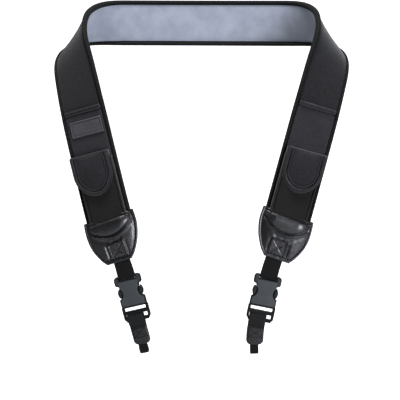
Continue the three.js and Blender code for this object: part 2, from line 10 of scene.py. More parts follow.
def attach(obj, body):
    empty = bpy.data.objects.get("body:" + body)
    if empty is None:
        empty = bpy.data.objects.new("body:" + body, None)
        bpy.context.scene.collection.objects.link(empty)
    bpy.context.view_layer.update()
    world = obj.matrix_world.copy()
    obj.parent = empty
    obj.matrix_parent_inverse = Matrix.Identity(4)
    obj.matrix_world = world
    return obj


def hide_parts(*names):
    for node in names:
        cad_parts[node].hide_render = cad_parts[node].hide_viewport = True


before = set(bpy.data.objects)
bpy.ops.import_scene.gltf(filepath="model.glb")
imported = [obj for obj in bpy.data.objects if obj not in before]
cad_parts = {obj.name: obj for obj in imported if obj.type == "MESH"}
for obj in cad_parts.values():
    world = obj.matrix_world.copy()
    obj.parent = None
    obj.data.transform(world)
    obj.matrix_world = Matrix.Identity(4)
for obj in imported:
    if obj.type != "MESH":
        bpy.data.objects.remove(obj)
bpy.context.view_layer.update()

# ------------------------------------------------------------------ camera, light and floor
# Metres throughout. +Z is up and the viewer stands in front, towards -Y.

CAMERA_PLACE = Vector((0.1032, -1.6337, -0.1876))
CAMERA_AZIMUTH = 3.7
CAMERA_TILT = 1.31
CAMERA_ROLL = 0.6
LENS = 115.5
FLOOR_Z = -1.2


def add_object(name, data):
    """A new object in the scene, holding some data."""
    made = bpy.data.objects.new(name, data)
    bpy.context.scene.collection.objects.link(made)
    return made


def set_camera():
    """The camera, level apart from a slight tilt down and roll."""
    azimuth, tilt, roll = (math.radians(a) for a in (CAMERA_AZIMUTH, CAMERA_TILT, CAMERA_ROLL))
    back = Vector((math.sin(azimuth) * math.cos(tilt), -math.cos(azimuth) * math.cos(tilt), math.sin(tilt)))
    level = Vector((math.cos(azimuth), math.sin(azimuth), 0))
    upright = back.cross(level)
    right = level * math.cos(roll) + upright * math.sin(roll)
    up = upright * math.cos(roll) - level * math.sin(roll)
    camera = add_object("camera", bpy.data.cameras.new("camera"))
    camera.data.lens = LENS
    camera.data.sensor_width = 36
    camera.data.clip_end = 100
    camera.matrix_world = Matrix.Translation(CAMERA_PLACE) @ Matrix((right, up, back)).transposed().to_4x4()
    bpy.context.scene.camera = camera


def add_light(name, place, aim, size, power, color=(1, 1, 1)):
    """A square soft light at a place, facing a point."""
    light = bpy.data.lights.new(name, "AREA")
    light.size = size
    light.energy = power
    light.color = color
    lamp = add_object(name, light)
    lamp.location = place
    lamp.rotation_euler = (Vector(aim) - Vector(place)).to_track_quat("-Z", "Y").to_euler()


def add_card(name, corners, shade, glow):
    """A flat card of the set, in one plain colour."""
    mesh = bpy.data.meshes.new(name)
    mesh.from_pydata(corners, [], [(0, 1, 2, 3)])
    paint = bpy.data.materials.new(name)
    paint.use_nodes = True
    shader = paint.node_tree.nodes["Principled BSDF"]
    shader.inputs["Base Color"].default_value = (shade, shade, shade, 1)
    shader.inputs["Roughness"].default_value = 0.9
    shader.inputs["Emission Color"].default_value = (1, 1, 1, 1)
    shader.inputs["Emission Strength"].default_value = glow
    mesh.materials.append(paint)
    add_object(name, mesh)


def set_studio():
    """Soft lights, a pale floor and a lit white card far behind."""
    world = bpy.data.worlds.new("studio")
    world.use_nodes = True
    world.node_tree.nodes["Background"].inputs["Color"].default_value = (0.96, 0.97, 1, 1)
    world.node_tree.nodes["Background"].inputs["Strength"].default_value = 0.09
    bpy.context.scene.world = world
    bpy.context.scene.view_settings.view_transform = "Standard"
    add_light("right_softbox", (1.22, -1.42, -0.45), (0, -0.07, -0.25), 0.8, 39, (0.90, 0.92, 1.0))
    add_light("top_softbox", (-0.15, -0.48, 1.2), (0, 0, -0.1), 0.5, 34, (0.97, 0.97, 1.0))
    add_light("left_softbox", (-1.6, -0.35, 0.35), (0, -0.05, -0.2), 0.7, 2.5)
    add_light("rear_softbox", (0.2, 2.4, 1.4), (0, 0, -0.2), 1.0, 16)
    low, high, far = FLOOR_Z, 0.7, 3.4
    add_card("pale_floor", [(-9, -9, low), (9, -9, low), (9, 9, low), (-9, 9, low)], 0.85, 0)
    white = [(-1.3, far, low), (0.85, far, low), (0.85, far, high), (-1.3, far, high)]
    add_card("white_card", white, 0.9, 1.0)


set_camera()
set_studio()

# ------------------------------------------------------------------ sizes
# These are the CAD model's, except for BINDING_BEHIND, FLAP_MIDDLES, POUCH_WIDE and LABEL_MIDDLE.

TIP_LENGTH = 0.057
PLUG_LENGTH = 0.057

# Each half of the strap from the nape to its free end: name, length, then bend, twist, sway and swing in
# degrees.
SECTIONS = [
    ("nape", 0.104, 4.5, 0, 0, 0),
    ("turn", 0.118, 118, 87, 8, 0),
    ("shoulder", 0.076, 10, 15, 1.5, 0),
    ("chest", 0.117, 6.5, 2, 0.5, 0),
    ("tip", TIP_LENGTH, 0, 0, -5, 0),
    ("webbing", 0.0198, 8, 0, 7.1, 1.6),
    ("buckle", PLUG_LENGTH, 0, 0, 0, 0),
    ("tail", 0.0306, 3, 0, 7.4, 6.6),
    ("lead", 0.013, 0, 0, 0, 0),
]
NAPE_LEAN = 5.9
SOFTENING = 0.014
ROUTE_STEP = 0.001
SLIDE = 0.003
SLIDE_BELOW = 0.0015
TIP_SLANT = 0.07

BAND_HALF = 0.0285
CORE_TOP = 0.002
CORE_BOTTOM = -0.0016
CORE_HALF = 0.0275
CLOTH_HALF = CORE_HALF - 0.0004
LINING_TOP = -0.0019
LINING_BOTTOM = -0.0027
BINDING_REACH = 0.005
BINDING_BEHIND = 0.0062
PANEL_BOTTOM = 0.0023
PANEL_TOP = 0.0036
PANEL_HALF = 0.0232
HEM_START = 0.280
HEM_GROOVE = 0.0062
HEM_TURN = 0.004
FLAP_START = 0.336
FLAP_LENGTH = 0.052
FLAP_STRAIGHT = 0.024
FLAP_HALF = 0.025
FLAP_SEAM = 0.0056
FLAP_MIDDLES = {1: -0.0020, -1: -0.0036}
POUCH_START = 0.344
POUCH_WIDE = 0.0238
POUCH_BOTTOM = 0.0039
POUCH_MOUTH_RISE = 0.0060
POUCH_FOOT_RISE = 0.0042
POUCH_SIDE = 0.0008
POUCH_WALL = 0.0022
POUCH_FOOT = 0.0055
HOLLOW_HALF = 0.0198
LABEL_START, LABEL_LENGTH, LABEL_HALF = 0.294, 0.020, 0.0205
LABEL_MIDDLE = 0.0005
LABEL_SEAM = 0.0024
WEBBING_WIDTH, WEBBING_THICK, WEBBING_TUCK = 0.021, 0.0014, 0.022
TAIL_TUCK = 0.007
TAIL_SHIFT = 0.0024
TAB_START, TAB_END, TAB_HALF, TAB_ROUND = 0.5575, 0.580, 0.0107, 0.0055
LEAD_WIDTH, LEAD_THICK, LEAD_TUCK, LEAD_SHIFT = 0.0105, 0.0012, 0.0045, 0.0032
LOOP_LENGTH, LOOP_DEPTH = 0.012, 0.010
BAR_WIDTH, BAR_DEPTH = 0.0028, 0.0036
PLUG_SLOT = 0.0487
SLOT_HALF = 0.0134

# The leather tip down its length: half width, the shift of its middle, and its height in front and behind.
TIP_OUTLINE = np.array([
    # down, half, middle, front, back
    (0.000, 0.0318, -0.0005, 0.0078, 0.0044),
    (0.006, 0.0326, -0.0005, 0.0078, 0.0046),
    (0.016, 0.0330, -0.0005, 0.0074, 0.0046),
    (0.026, 0.0318, -0.0008, 0.0068, 0.0044),
    (0.036, 0.0290, -0.0012, 0.0060, 0.0040),
    (0.046, 0.0240, -0.0018, 0.0050, 0.0036),
    (0.053, 0.0196, -0.0024, 0.0040, 0.0034),
    (0.056, 0.0166, -0.0028, 0.0035, 0.0033),
    (TIP_LENGTH, 0.0146, -0.0030, 0.0033, 0.0032),
])

STARTS = dict(zip([row[0] for row in SECTIONS], np.cumsum([0] + [row[1] for row in SECTIONS])))
STRAP_END = sum(row[1] for row in SECTIONS)
TIP_START, TIP_END, BUCKLE_START = STARTS["tip"], STARTS["webbing"], STARTS["buckle"]
BAND_REACH = TIP_START + 0.004


def smoothstep(x, low, high):
    """0 below low, 1 above high, and an even rise between."""
    u = np.clip((np.asarray(x, float) - low) / (high - low), 0, 1)
    return u * u * (3 - 2 * u)


def bump(x, middle, width):
    """A smooth hump of height 1 about a middle."""
    return np.exp(-(((x - middle) / width) ** 2))


def rounding(x, width):
    """A quarter-round edge: 0 at x = 0, and 1 a width in from it."""
    return np.sqrt(np.clip(1 - (1 - np.clip(x / width, 0, 1)) ** 2, 0, 1))


def crowded(count, power):
    """Values from -1 to 1, closer together towards both ends."""
    share = np.linspace(-1, 1, count)
    return np.sign(share) * (1 - (1 - np.abs(share)) ** power)


def run(start, end, step=0.002):
    """Evenly spaced values from start to end."""
    return np.linspace(start, end, max(2, int(round(abs(end - start) / step)) + 1))


# ------------------------------------------------------------------ the strap's route


def walk_route(side):
    """Places and axes (along, out, across) down the mid-line of one half, drawn as the right one."""
    marks = np.cumsum([0] + [row[1] for row in SECTIONS])
    turns = [np.cumsum([0] + [row[2] for row in SECTIONS]), np.cumsum([0] + [row[3] for row in SECTIONS])]
    turns.append(np.cumsum([0] + [row[4] + side * row[5] for row in SECTIONS]))

    def gathered(i, s):
        value = np.interp(abs(s), marks, turns[i])
        return -value if i == 0 and s < 0 else value

    def rate(i, s):
        spread = gathered(i, s + SOFTENING) - gathered(i, s - SOFTENING)
        return math.radians(spread) / (2 * SOFTENING)

    turned = Matrix.Rotation(math.radians(NAPE_LEAN), 3, "X")
    place = turned @ Vector((0, 0.0027, 0))
    places, axes = [place.copy()], [turned.copy()]
    steps = int(math.ceil((STRAP_END + SLIDE) / ROUTE_STEP))
    for k in range(steps):
        s = (k + 0.5) * ROUTE_STEP
        spin = Vector((rate(1, s), rate(2, s), -rate(0, s)))
        angle = spin.length * ROUTE_STEP
        axis = spin.normalized() if angle else Vector((1, 0, 0))
        place = place + (turned @ Matrix.Rotation(angle / 2, 3, axis)) @ Vector((ROUTE_STEP, 0, 0))
        turned = turned @ Matrix.Rotation(angle, 3, axis)
        places.append(place.copy())
        axes.append(turned.copy())
    return np.array(places), np.array([np.array(m) for m in axes])


ROUTES = {1: walk_route(1), -1: walk_route(-1)}


def slide(s):
    """How far round the neck the strap has slid at s."""
    return SLIDE + (SLIDE_BELOW - SLIDE) * smoothstep(s, TIP_END, BUCKLE_START)


def slant(s):
    """How far the strap's cross-lines slant at s: only round the leather tip."""
    fades = 1 - smoothstep(s, TIP_START + 0.02, TIP_END)
    return TIP_SLANT * smoothstep(s, TIP_START - 0.02, TIP_START - 0.002) * fades


def frames_at(s, shear=0.0):
    """Side, place and axes at each s. From the nape s counts up on the right and down on the left."""
    s = np.asarray(s, float)
    along = s - slide(np.abs(s)) - shear
    side = np.where(along < 0, -1, 1)
    at = np.clip(np.abs(along) / ROUTE_STEP, 0, len(ROUTES[1][0]) - 1.001)
    low = at.astype(int)
    share = (at - low)[..., None]
    places, axes = [], []
    for key in (-1, 1):
        p, a = ROUTES[key]
        places.append(p[low] * (1 - share) + p[low + 1] * share)
        axes.append(a[low] * (1 - share[..., None]) + a[low + 1] * share[..., None])
    right = (side > 0)[..., None]
    return side, np.where(right, places[1], places[0]), np.where(right[..., None], axes[1], axes[0])


def place(s, t, h):
    """Points at s along the strap, t across it towards the inner edge and h out from its mid-plane."""
    s, t, h = np.broadcast_arrays(np.asarray(s, float), np.asarray(t, float), np.asarray(h, float))
    side, spot, axes = frames_at(s, np.sign(s) * t * slant(np.abs(s)))
    point = spot + axes[..., :, 1] * h[..., None] + axes[..., :, 2] * t[..., None]
    point[..., 0] *= side
    return point


# ------------------------------------------------------------------ materials


class Field:
    """A number that varies over a surface. Arithmetic on it adds Math nodes."""

    def __init__(self, tree, socket):
        self.tree, self.socket = tree, socket

    def math(self, operation, *others, first=True):
        node = add_node(self.tree, "ShaderNodeMath", {"operation": operation})
        values = (self, *others) if first else (*others, self)
        for socket, value in zip(node.inputs, values):
            connect(self.tree, value, socket)
        return Field(self.tree, node.outputs[0])

    def __add__(self, other):
        return self.math("ADD", other)

    def __radd__(self, other):
        return self.math("ADD", other)

    def __sub__(self, other):
        return self.math("SUBTRACT", other)

    def __rsub__(self, other):
        return self.math("SUBTRACT", other, first=False)

    def __mul__(self, other):
        return self.math("MULTIPLY", other)

    def __rmul__(self, other):
        return self.math("MULTIPLY", other)

    def wave(self):
        return self.math("SINE")

    def size(self):
        return self.math("ABSOLUTE")

    def clamped(self):
        return self.math("MINIMUM", 1.0).math("MAXIMUM", 0.0)


def named(sockets, key):
    """The socket called by a key such as base_color, whatever its capitals."""
    return next(socket for socket in sockets if socket.name.lower().replace(" ", "_") == key.lower())


def connect(tree, value, socket):
    """Links a field or socket to a socket, or sets the socket to a plain value."""
    if isinstance(value, Field):
        value = value.socket
    if isinstance(value, bpy.types.NodeSocket):
        tree.links.new(value, socket)
    elif hasattr(value, "__len__") and len(value) == 3 and socket.type == "RGBA":
        socket.default_value = (*value, 1)
    else:
        socket.default_value = value


def add_node(tree, kind, settings=None, **sockets):
    """A node of a kind, with its settings and then its sockets set; returns it."""
    node = tree.nodes.new(kind)
    for key, value in (settings or {}).items():
        setattr(node, key, value)
    for key, value in sockets.items():
        connect(tree, value, named(node.inputs, key))
    return node


class Finish:
    """A material around one Principled shader."""

    def __init__(self, name, roughness, **plain):
        self.material = bpy.data.materials.new(name)
        self.material.use_nodes = True
        self.tree = self.material.node_tree
        self.shader = self.tree.nodes["Principled BSDF"]
        self.shader.inputs["Roughness"].default_value = roughness
        for key, value in plain.items():
            connect(self.tree, value, named(self.shader.inputs, key))

    def add(self, kind, settings=None, **sockets):
        return add_node(self.tree, kind, settings, **sockets)

    def lay(self):
        """The surface's own coordinates: along, across and out, as fields."""
        node = self.add("ShaderNodeAttribute", {"attribute_name": "lay"})
        split = self.add("ShaderNodeSeparateXYZ", Vector=node.outputs["Vector"])
        return node.outputs["Vector"], *(Field(self.tree, out) for out in split.outputs)

    def noise(self, vector, scale, detail, roughness=0.55):
        given = {"Vector": vector, "Scale": scale, "Detail": detail, "Roughness": roughness}
        return Field(self.tree, self.add("ShaderNodeTexNoise", **given).outputs["Fac"])

    def cells(self, vector, scale):
        node = self.add("ShaderNodeTexVoronoi", {"feature": "DISTANCE_TO_EDGE"}, Vector=vector, Scale=scale)
        return Field(self.tree, node.outputs["Distance"])

    def color(self, amount, low, high):
        """Base colour from low to high, as the amount goes from 0 to 1."""
        node = self.add("ShaderNodeMix", {"data_type": "RGBA"})
        colors = [socket for socket in node.inputs if socket.type == "RGBA"]
        connect(self.tree, amount, node.inputs[0])
        connect(self.tree, low, colors[0])
        connect(self.tree, high, colors[1])
        mixed = next(socket for socket in node.outputs if socket.type == "RGBA")
        connect(self.tree, mixed, self.shader.inputs["Base Color"])

    def rough(self, value):
        connect(self.tree, value, self.shader.inputs["Roughness"])

    def relief(self, height, depth):
        """Bumps of a depth in metres from a height field of about 0 to 1."""
        node = self.add("ShaderNodeBump", Strength=1.0, Distance=depth, Height=height)
        connect(self.tree, node.outputs["Normal"], self.shader.inputs["Normal"])


def grey(value, red=1.0, green=1.0, blue=1.0):
    """A near-grey colour in linear light."""
    return value * red, value * green, value * blue


def knit(name, dark, light, pitch, tint, fuzz):
    """Fine knitted cloth over foam, with soft mottling."""
    finish = Finish(name, 0.9, sheen_weight=fuzz, sheen_roughness=0.45, specular_ior_level=0.15)
    vector, along, across, _ = finish.lay()
    cloud = finish.noise(vector, 55, 4)
    grain = finish.noise(vector, 520, 2)
    fleck = finish.noise(vector, 1400, 2)
    shade = cloud * 0.7 + grain * 2.2 + fleck * 0.5 - 1.25
    finish.color(shade, grey(dark, *tint), grey(light, *tint))
    turn = 2 * math.pi / pitch
    ribs = (across * turn).wave() * (along * turn + (across * turn * 0.5).wave() * 0.8).wave()
    finish.rough(0.82 + fleck * 0.14)
    finish.relief(ribs * 0.3 + fleck * 0.5 + grain * 0.9 + cloud * 0.9, 0.00026)
    return finish.material


def woven(name, dark, light, pitch, cross_pitch, depth):
    """Ribbed woven tape or webbing: ribs across the strap, with the weft between."""
    finish = Finish(name, 0.75, sheen_weight=0.06, sheen_roughness=0.4, specular_ior_level=0.12)
    vector, along, across, _ = finish.lay()
    turn, cross = math.pi / pitch, math.pi / cross_pitch
    warp = (across * cross).wave().size()
    weft = (along * turn + (across * cross).wave().size() * 1.2).wave().size()
    fibre = finish.noise(vector, 2200, 2)
    height = warp * 0.55 + weft * 0.45 + fibre * 0.25
    finish.color(height * 0.8 + fibre * 0.2, grey(dark, green=1.02), grey(light, green=1.02))
    finish.rough(0.66 + fibre * 0.25)
    finish.relief(height, depth)
    return finish.material


def suede():
    """The lining: brushed grey knit, cloudy where it is rubbed."""
    finish = Finish("brushed_lining", 0.88, sheen_weight=0.35, sheen_roughness=0.5, specular_ior_level=0.2)
    vector, along, across, _ = finish.lay()
    cloud = finish.noise(vector, 42, 5, 0.6)
    nap = finish.noise(vector, 900, 3)
    finish.color(cloud * 1.5 - 0.45 + nap * 0.2, (0.190, 0.208, 0.254), (0.322, 0.350, 0.414))
    finish.relief(cloud * 0.5 + nap * 0.6, 0.00018)
    return finish.material


def leather(name, dark, light, roughness, shine):
    """Smooth imitation leather with a fine grain."""
    finish = Finish(name, roughness, coat_weight=shine - 0.2, coat_roughness=0.24, specular_ior_level=shine)
    coords = finish.add("ShaderNodeTexCoord").outputs["Object"]
    grain = finish.cells(coords, 950)
    pore = finish.noise(coords, 1900, 2)
    wear = finish.noise(coords, 70, 4)
    finish.color(wear * 1.3 - 0.2 + pore * 0.1, dark, light)
    finish.rough(roughness - 0.1 + wear * 0.14 + pore * 0.08)
    finish.relief((grain * 9).clamped() * 0.5 + pore * 0.25 + wear * 0.8, 0.00012)
    return finish.material


def moulded(name, dark, light):
    """Moulded slate plastic with painted shade: its sides and recesses are painted darker than its outer
    faces.
    """
    finish = Finish(name, 0.5, specular_ior_level=0.14)
    vector, _, _, out = finish.lay()
    fine = finish.noise(vector, 2600, 2)
    broad = finish.noise(vector, 90, 3)
    # Painted shade: the colour darkens wherever a point lies nearer than about 4 mm to the buckle's
    # mid-plane, on its sides and in its recesses, and the outer faces stay pale.
    face = ((out.size() - 0.0035) * 1100).clamped()
    shade = face * (0.7 + broad * 0.5) + fine * 0.08
    finish.color(shade, grey(dark, 0.82, 1, 1.12), grey(light, 0.90, 1, 1.05))
    finish.rough(0.44 + fine * 0.14 + broad * 0.06)
    finish.relief(fine, 0.00005)
    return finish.material


def twisted():
    """Black sewing thread."""
    finish = Finish("black_thread", 0.85, specular_ior_level=0.1)
    coords = finish.add("ShaderNodeTexCoord").outputs["Object"]
    ply = finish.noise(coords, 3000, 1)
    finish.color(ply, grey(0.0010), grey(0.0030))
    return finish.material


NEOPRENE = knit("neoprene_face", 0.0060, 0.0125, 0.0011, tint=(0.97, 0.98, 1.12), fuzz=0.22)
PANEL_CLOTH = knit("panel_cloth", 0.0115, 0.0215, 0.0010, tint=(1.0, 0.98, 1.12), fuzz=0.25)
FLAP_CLOTH = knit("flap_cloth", 0.0090, 0.0180, 0.0010, tint=(1.0, 0.97, 1.12), fuzz=0.18)
POCKET = knit("pocket_cloth", 0.0050, 0.0095, 0.0009, tint=(1.12, 1.0, 0.90), fuzz=0.16)
LINING = suede()
BINDING = woven("edge_tape", 0.0024, 0.0068, 0.0012, 0.0008, 0.00018)
WEBBING = woven("webbing_weave", 0.0003, 0.0062, 0.0022, 0.0011, 0.0004)
TAIL_WEBBING = woven("tail_webbing_weave", 0.0020, 0.0150, 0.0022, 0.0011, 0.0004)
LEATHER = leather("dark_leather", (0.0026, 0.0026, 0.0032), (0.0070, 0.0070, 0.0088), 0.27, 0.5)
TAB_LEATHER = leather("tab_leather", (0.0044, 0.0050, 0.0051), (0.0125, 0.0134, 0.0136), 0.58, 0.34)
LABEL_LEATHER = leather("label_patch_leather", (0.026, 0.026, 0.029), (0.048, 0.047, 0.053), 0.55, 0.35)
# The plastic's dark colour is painted shade for the buckles' sides and recesses, and its light colour is
# for their outer faces.
PLASTIC = moulded("slate_plastic", 0.0035, 0.053)
THREAD = twisted()

# ------------------------------------------------------------------ making pieces


def face_out(mesh, weld=0.0):
    """Turns all faces of a closed mesh outwards, after merging points nearer than weld."""
    shape = bmesh.new()
    shape.from_mesh(mesh)
    if weld:
        bmesh.ops.remove_doubles(shape, verts=shape.verts, dist=weld)
    bmesh.ops.recalc_face_normals(shape, faces=shape.faces)
    shape.to_mesh(mesh)
    shape.free()


def taken_mesh(drawn):
    """An object's mesh with its modifiers applied. The object is removed."""
    bpy.context.view_layer.update()
    mesh = bpy.data.meshes.new_from_object(drawn.evaluated_get(bpy.context.evaluated_depsgraph_get()))
    bpy.data.objects.remove(drawn)
    return mesh


def make_piece(name, points, lay, faces, material):
    """A closed piece from points, their lay coordinates and faces, finished with one subdivision."""
    mesh = bpy.data.meshes.new(name)
    mesh.from_pydata(np.asarray(points).reshape(-1, 3).tolist(), [], faces)
    layer = mesh.attributes.new("lay", "FLOAT_VECTOR", "POINT")
    layer.data.foreach_set("vector", np.ascontiguousarray(lay, np.float32).ravel())
    mesh.materials.append(material)
    mesh.polygons.foreach_set("use_smooth", [True] * len(mesh.polygons))
    mesh.update()
    face_out(mesh)
    piece = add_object(name, mesh)
    softened = piece.modifiers.new("softened", "SUBSURF")
    softened.levels = softened.render_levels = 1
    return piece


def tube_faces(rings, corners):
    """Faces of a closed tube of rings, with its two ends."""
    faces = []
    for i in range(rings - 1):
        for j in range(corners):
            a, b = i * corners + j, i * corners + (j + 1) % corners
            faces.append((a, a + corners, b + corners, b))
    faces.append(tuple(range(corners)))
    faces.append(tuple(reversed(range((rings - 1) * corners, rings * corners))))
    return faces


def sweep(name, stations, outline_at, material, side=1):
    """A piece through one closed outline of (t, h) corners at each station, anticlockwise."""
    ordered = stations if side > 0 else stations[::-1]
    outlines = np.array([outline_at(s) for s in ordered])
    s = np.repeat(np.asarray(ordered)[:, None] * side, outlines.shape[1], 1)
    t, h = outlines[..., 0], outlines[..., 1]
    lay = np.stack([s, t, h], -1)
    return make_piece(name, place(s, t, h), lay, tube_faces(*s.shape), material)


def pillow(name, s, t, top, bottom, material, side):
    """A closed piece over a grid of (s, t), with its own top and bottom heights."""
    rows, columns = s.shape
    if side < 0:
        s, t, top, bottom = s[::-1], t[::-1], top[::-1], bottom[::-1]
    upper = place(side * s, t, top)
    lower = place(side * s, t, bottom)
    lay = np.concatenate([np.stack([side * s, t, top], -1), np.stack([side * s, t, bottom], -1)])
    index = np.arange(rows * columns).reshape(rows, columns)
    under = index + rows * columns
    faces = []
    for i in range(rows - 1):
        for j in range(columns - 1):
            faces.append((index[i, j], index[i, j + 1], index[i + 1, j + 1], index[i + 1, j]))
            faces.append((under[i, j], under[i + 1, j], under[i + 1, j + 1], under[i, j + 1]))
    rim = [(i, 0) for i in range(rows)] + [(rows - 1, j) for j in range(1, columns)]
    rim += [(i, columns - 1) for i in range(rows - 2, -1, -1)] + [(0, j) for j in range(columns - 2, 0, -1)]
    for a, b in zip(rim, rim[1:] + rim[:1]):
        faces.append((index[a], index[b], under[b], under[a]))
    points = np.concatenate([upper.reshape(-1, 3), lower.reshape(-1, 3)])
    return make_piece(name, points, lay, [tuple(int(k) for k in f) for f in faces], material)


def finish_piece(piece, node):
    """Attaches a piece to the root body and hides the CAD part that it stands for."""
    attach(piece, "root")
    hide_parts(node)


# ------------------------------------------------------------------ stitches


def stitch_tree():
    """Geometry Nodes that lay one small capsule of thread at each pitch along a path."""
    tree = bpy.data.node_groups.new("stitches", "GeometryNodeTree")
    face = tree.interface
    face.new_socket("Path", in_out="INPUT", socket_type="NodeSocketGeometry")
    for name in ("Pitch", "Length", "Thickness"):
        face.new_socket(name, in_out="INPUT", socket_type="NodeSocketFloat")
    face.new_socket("Thread", in_out="INPUT", socket_type="NodeSocketMaterial")
    face.new_socket("Stitches", in_out="OUTPUT", socket_type="NodeSocketGeometry")
    add = partial(add_node, tree)
    given = add("NodeGroupInput")
    curve = add("GeometryNodeMeshToCurve", Mesh=given.outputs["Path"])
    spacing = {"Curve": curve.outputs["Curve"], "Length": given.outputs["Pitch"]}
    evenly = add("GeometryNodeResampleCurve", {"mode": "LENGTH"}, **spacing)
    tangent = add("GeometryNodeInputTangent")
    facing = add("FunctionNodeAlignEulerToVector", {"axis": "Z"}, Vector=tangent.outputs["Tangent"])
    ball = add("GeometryNodeMeshUVSphere", Segments=6, Rings=5, Radius=0.5)
    thick, long = given.outputs["Thickness"], given.outputs["Length"]
    size = add("ShaderNodeCombineXYZ", X=thick, Y=thick, Z=long)
    laid = add(
        "GeometryNodeInstanceOnPoints",
        Points=evenly.outputs["Curve"],
        Instance=ball.outputs["Mesh"],
        Rotation=facing.outputs["Rotation"],
        Scale=size.outputs["Vector"],
    )
    real = add("GeometryNodeRealizeInstances", Geometry=laid.outputs["Instances"])
    rounded = add("GeometryNodeSetShadeSmooth", Geometry=real.outputs["Geometry"])
    paint = {"Geometry": rounded.outputs["Geometry"], "Material": given.outputs["Thread"]}
    painted = add("GeometryNodeSetMaterial", **paint)
    add("NodeGroupOutput", Stitches=painted.outputs["Geometry"])
    return tree


STITCHES = stitch_tree()

# Threads: pitch, and each stitch's length and thickness.
EDGE_THREAD = 0.0033, 0.0024, 0.0010
POCKET_THREAD = 0.0030, 0.0024, 0.0011
LABEL_THREAD = 0.0022, 0.0015, 0.0004
TIP_THREAD = 0.0035, 0.0024, 0.0010
TAB_THREAD = 0.0026, 0.0019, 0.0010


def sew(name, paths, pitch, length, thickness):
    """Stitches of a length and thickness along paths, each a run of (s, t, h) places."""
    points, edges = [], []
    for s, t, h in paths:
        laid = place(s, t, h)
        edges += [(len(points) + k, len(points) + k + 1) for k in range(len(laid) - 1)]
        points += laid.tolist()
    mesh = bpy.data.meshes.new(name + "_path")
    mesh.from_pydata(points, edges, [])
    path = add_object(name + "_path", mesh)
    sewn = path.modifiers.new("stitches", "NODES")
    sewn.node_group = STITCHES
    given = {"Pitch": pitch, "Length": length, "Thickness": thickness, "Thread": THREAD}
    for socket in STITCHES.interface.items_tree:
        if socket.in_out == "INPUT" and socket.name in given:
            sewn[socket.identifier] = given[socket.name]
    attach(add_object(name, taken_mesh(path)), "root")


def stitched_box(low, high, half):
    """Runs of (along, across) round a box between low and high."""
    along, across = run(low, high), run(-half, half)
    rows = [(np.full_like(across, end), across) for end in (low, high)]
    return rows + [(along, np.full_like(along, edge)) for edge in (-half, half)]


def crossed_box(low, high, half):
    """A stitched box with its two diagonals."""
    diagonal = np.linspace(0, 1, 14)
    crossing = [(low + (high - low) * diagonal, way * half * (2 * diagonal - 1)) for way in (-1, 1)]
    return stitched_box(low, high, half) + crossing


# ------------------------------------------------------------------ the band


def pucker(s):
    """How the cloth rises and falls along a seam, with ripples 7 and 12 mm long."""
    return 0.00012 * np.sin(s * 900) + 0.0001 * np.sin(s * 530 + 1.7)


BAND_STATIONS = run(-BAND_REACH, BAND_REACH, 0.003)


def pad_outline(s):
    """The pad's section: a softly domed outer face, and a flat inner one."""
    t = np.linspace(-1, 1, 21)
    dip = smoothstep(np.abs(t) * CLOTH_HALF, 0.0195, 0.0245)
    top = CORE_TOP + 0.0006 * (1 - t**2) - 0.0008 * dip + pucker(s) * dip
    upper = [(CLOTH_HALF * a, b) for a, b in zip(t[::-1], top[::-1])]
    lower = [(CLOTH_HALF * a, CORE_BOTTOM) for a in np.linspace(-1, 1, 9)]
    return lower + upper


def lining_outline(s):
    """The lining's section: soft, and drawn in where the tape is sewn."""
    t = np.linspace(-1, 1, 17)
    dip = smoothstep(np.abs(t) * CLOTH_HALF, 0.019, 0.0235)
    low = LINING_BOTTOM - 0.0004 * (1 - t**2) + 0.0006 * dip + pucker(s + 0.1) * dip
    return [(CLOTH_HALF * a, b) for a, b in zip(t, low)] + [(CLOTH_HALF * a, LINING_TOP) for a in t[::-1]]


def binding_outline(inner):
    """The folded tape's section at one edge, as a function of s."""
    reach, behind, edge = BAND_HALF - BINDING_REACH, BAND_HALF - BINDING_BEHIND, BAND_HALF

    def outline(s):
        wave = pucker(s)
        rise = CORE_TOP + 0.0009
        low = LINING_BOTTOM - 0.0009
        corners = [
            (reach + 0.0002, rise - 0.0009 + wave),
            (reach + 0.0004, CORE_TOP + 0.0002),
            (edge - 0.0009, CORE_TOP + 0.0001),
            (edge - 0.0007, LINING_BOTTOM - 0.0001),
            (behind + 0.0004, LINING_BOTTOM - 0.0002),
            (behind + 0.0002, low + 0.0006 + wave),
            (behind + 0.0008, low - 0.0002 + wave),
            (behind + 0.0016, low + 0.0008),
            (behind + 0.0025, low - 0.0004),
            (behind + 0.0036, low - 0.0011),
            (edge - 0.0012, low - 0.0001 - wave),
            (edge - 0.0002, low + 0.0011),
            (edge + 0.0002, 0.0),
            (edge - 0.0002, rise - 0.0011),
            (edge - 0.0012, rise + 0.0002 + wave),
            (reach + 0.0024, rise + 0.0010),
            (reach + 0.0013, rise - 0.0010),
            (reach + 0.0007, rise + 0.0001 + wave),
        ]
        return corners if inner else [(-t, h) for t, h in reversed(corners)]

    return outline


pad = sweep("neck_pad_foam", BAND_STATIONS, pad_outline, NEOPRENE)
finish_piece(pad, "neck_pad")
lining = sweep("lining_cloth", BAND_STATIONS, lining_outline, LINING)
finish_piece(lining, "pad_lining")
2 * BAND_REACH
for name, inner in (("inner", True), ("outer", False)):
    tape = sweep(f"edge_tape_{name}", BAND_STATIONS, binding_outline(inner), BINDING)
    finish_piece(tape, f"binding_{name}")

seam_s = run(-TIP_START + 0.002, TIP_START - 0.002, 0.004)
seams = [(BINDING_REACH - 0.0013, CORE_TOP + 0.0004), (BINDING_BEHIND - 0.0016, LINING_BOTTOM - 0.0003)]
edge_seams = [(seam_s, edge * (BAND_HALF - reach), h) for edge in (-1, 1) for reach, h in seams]
sew("edge_stitching", edge_seams, *EDGE_THREAD)

# ------------------------------------------------------------------ pockets
# A fold, ridge or groove is a bump: its height, then its middle and its width, in metres.


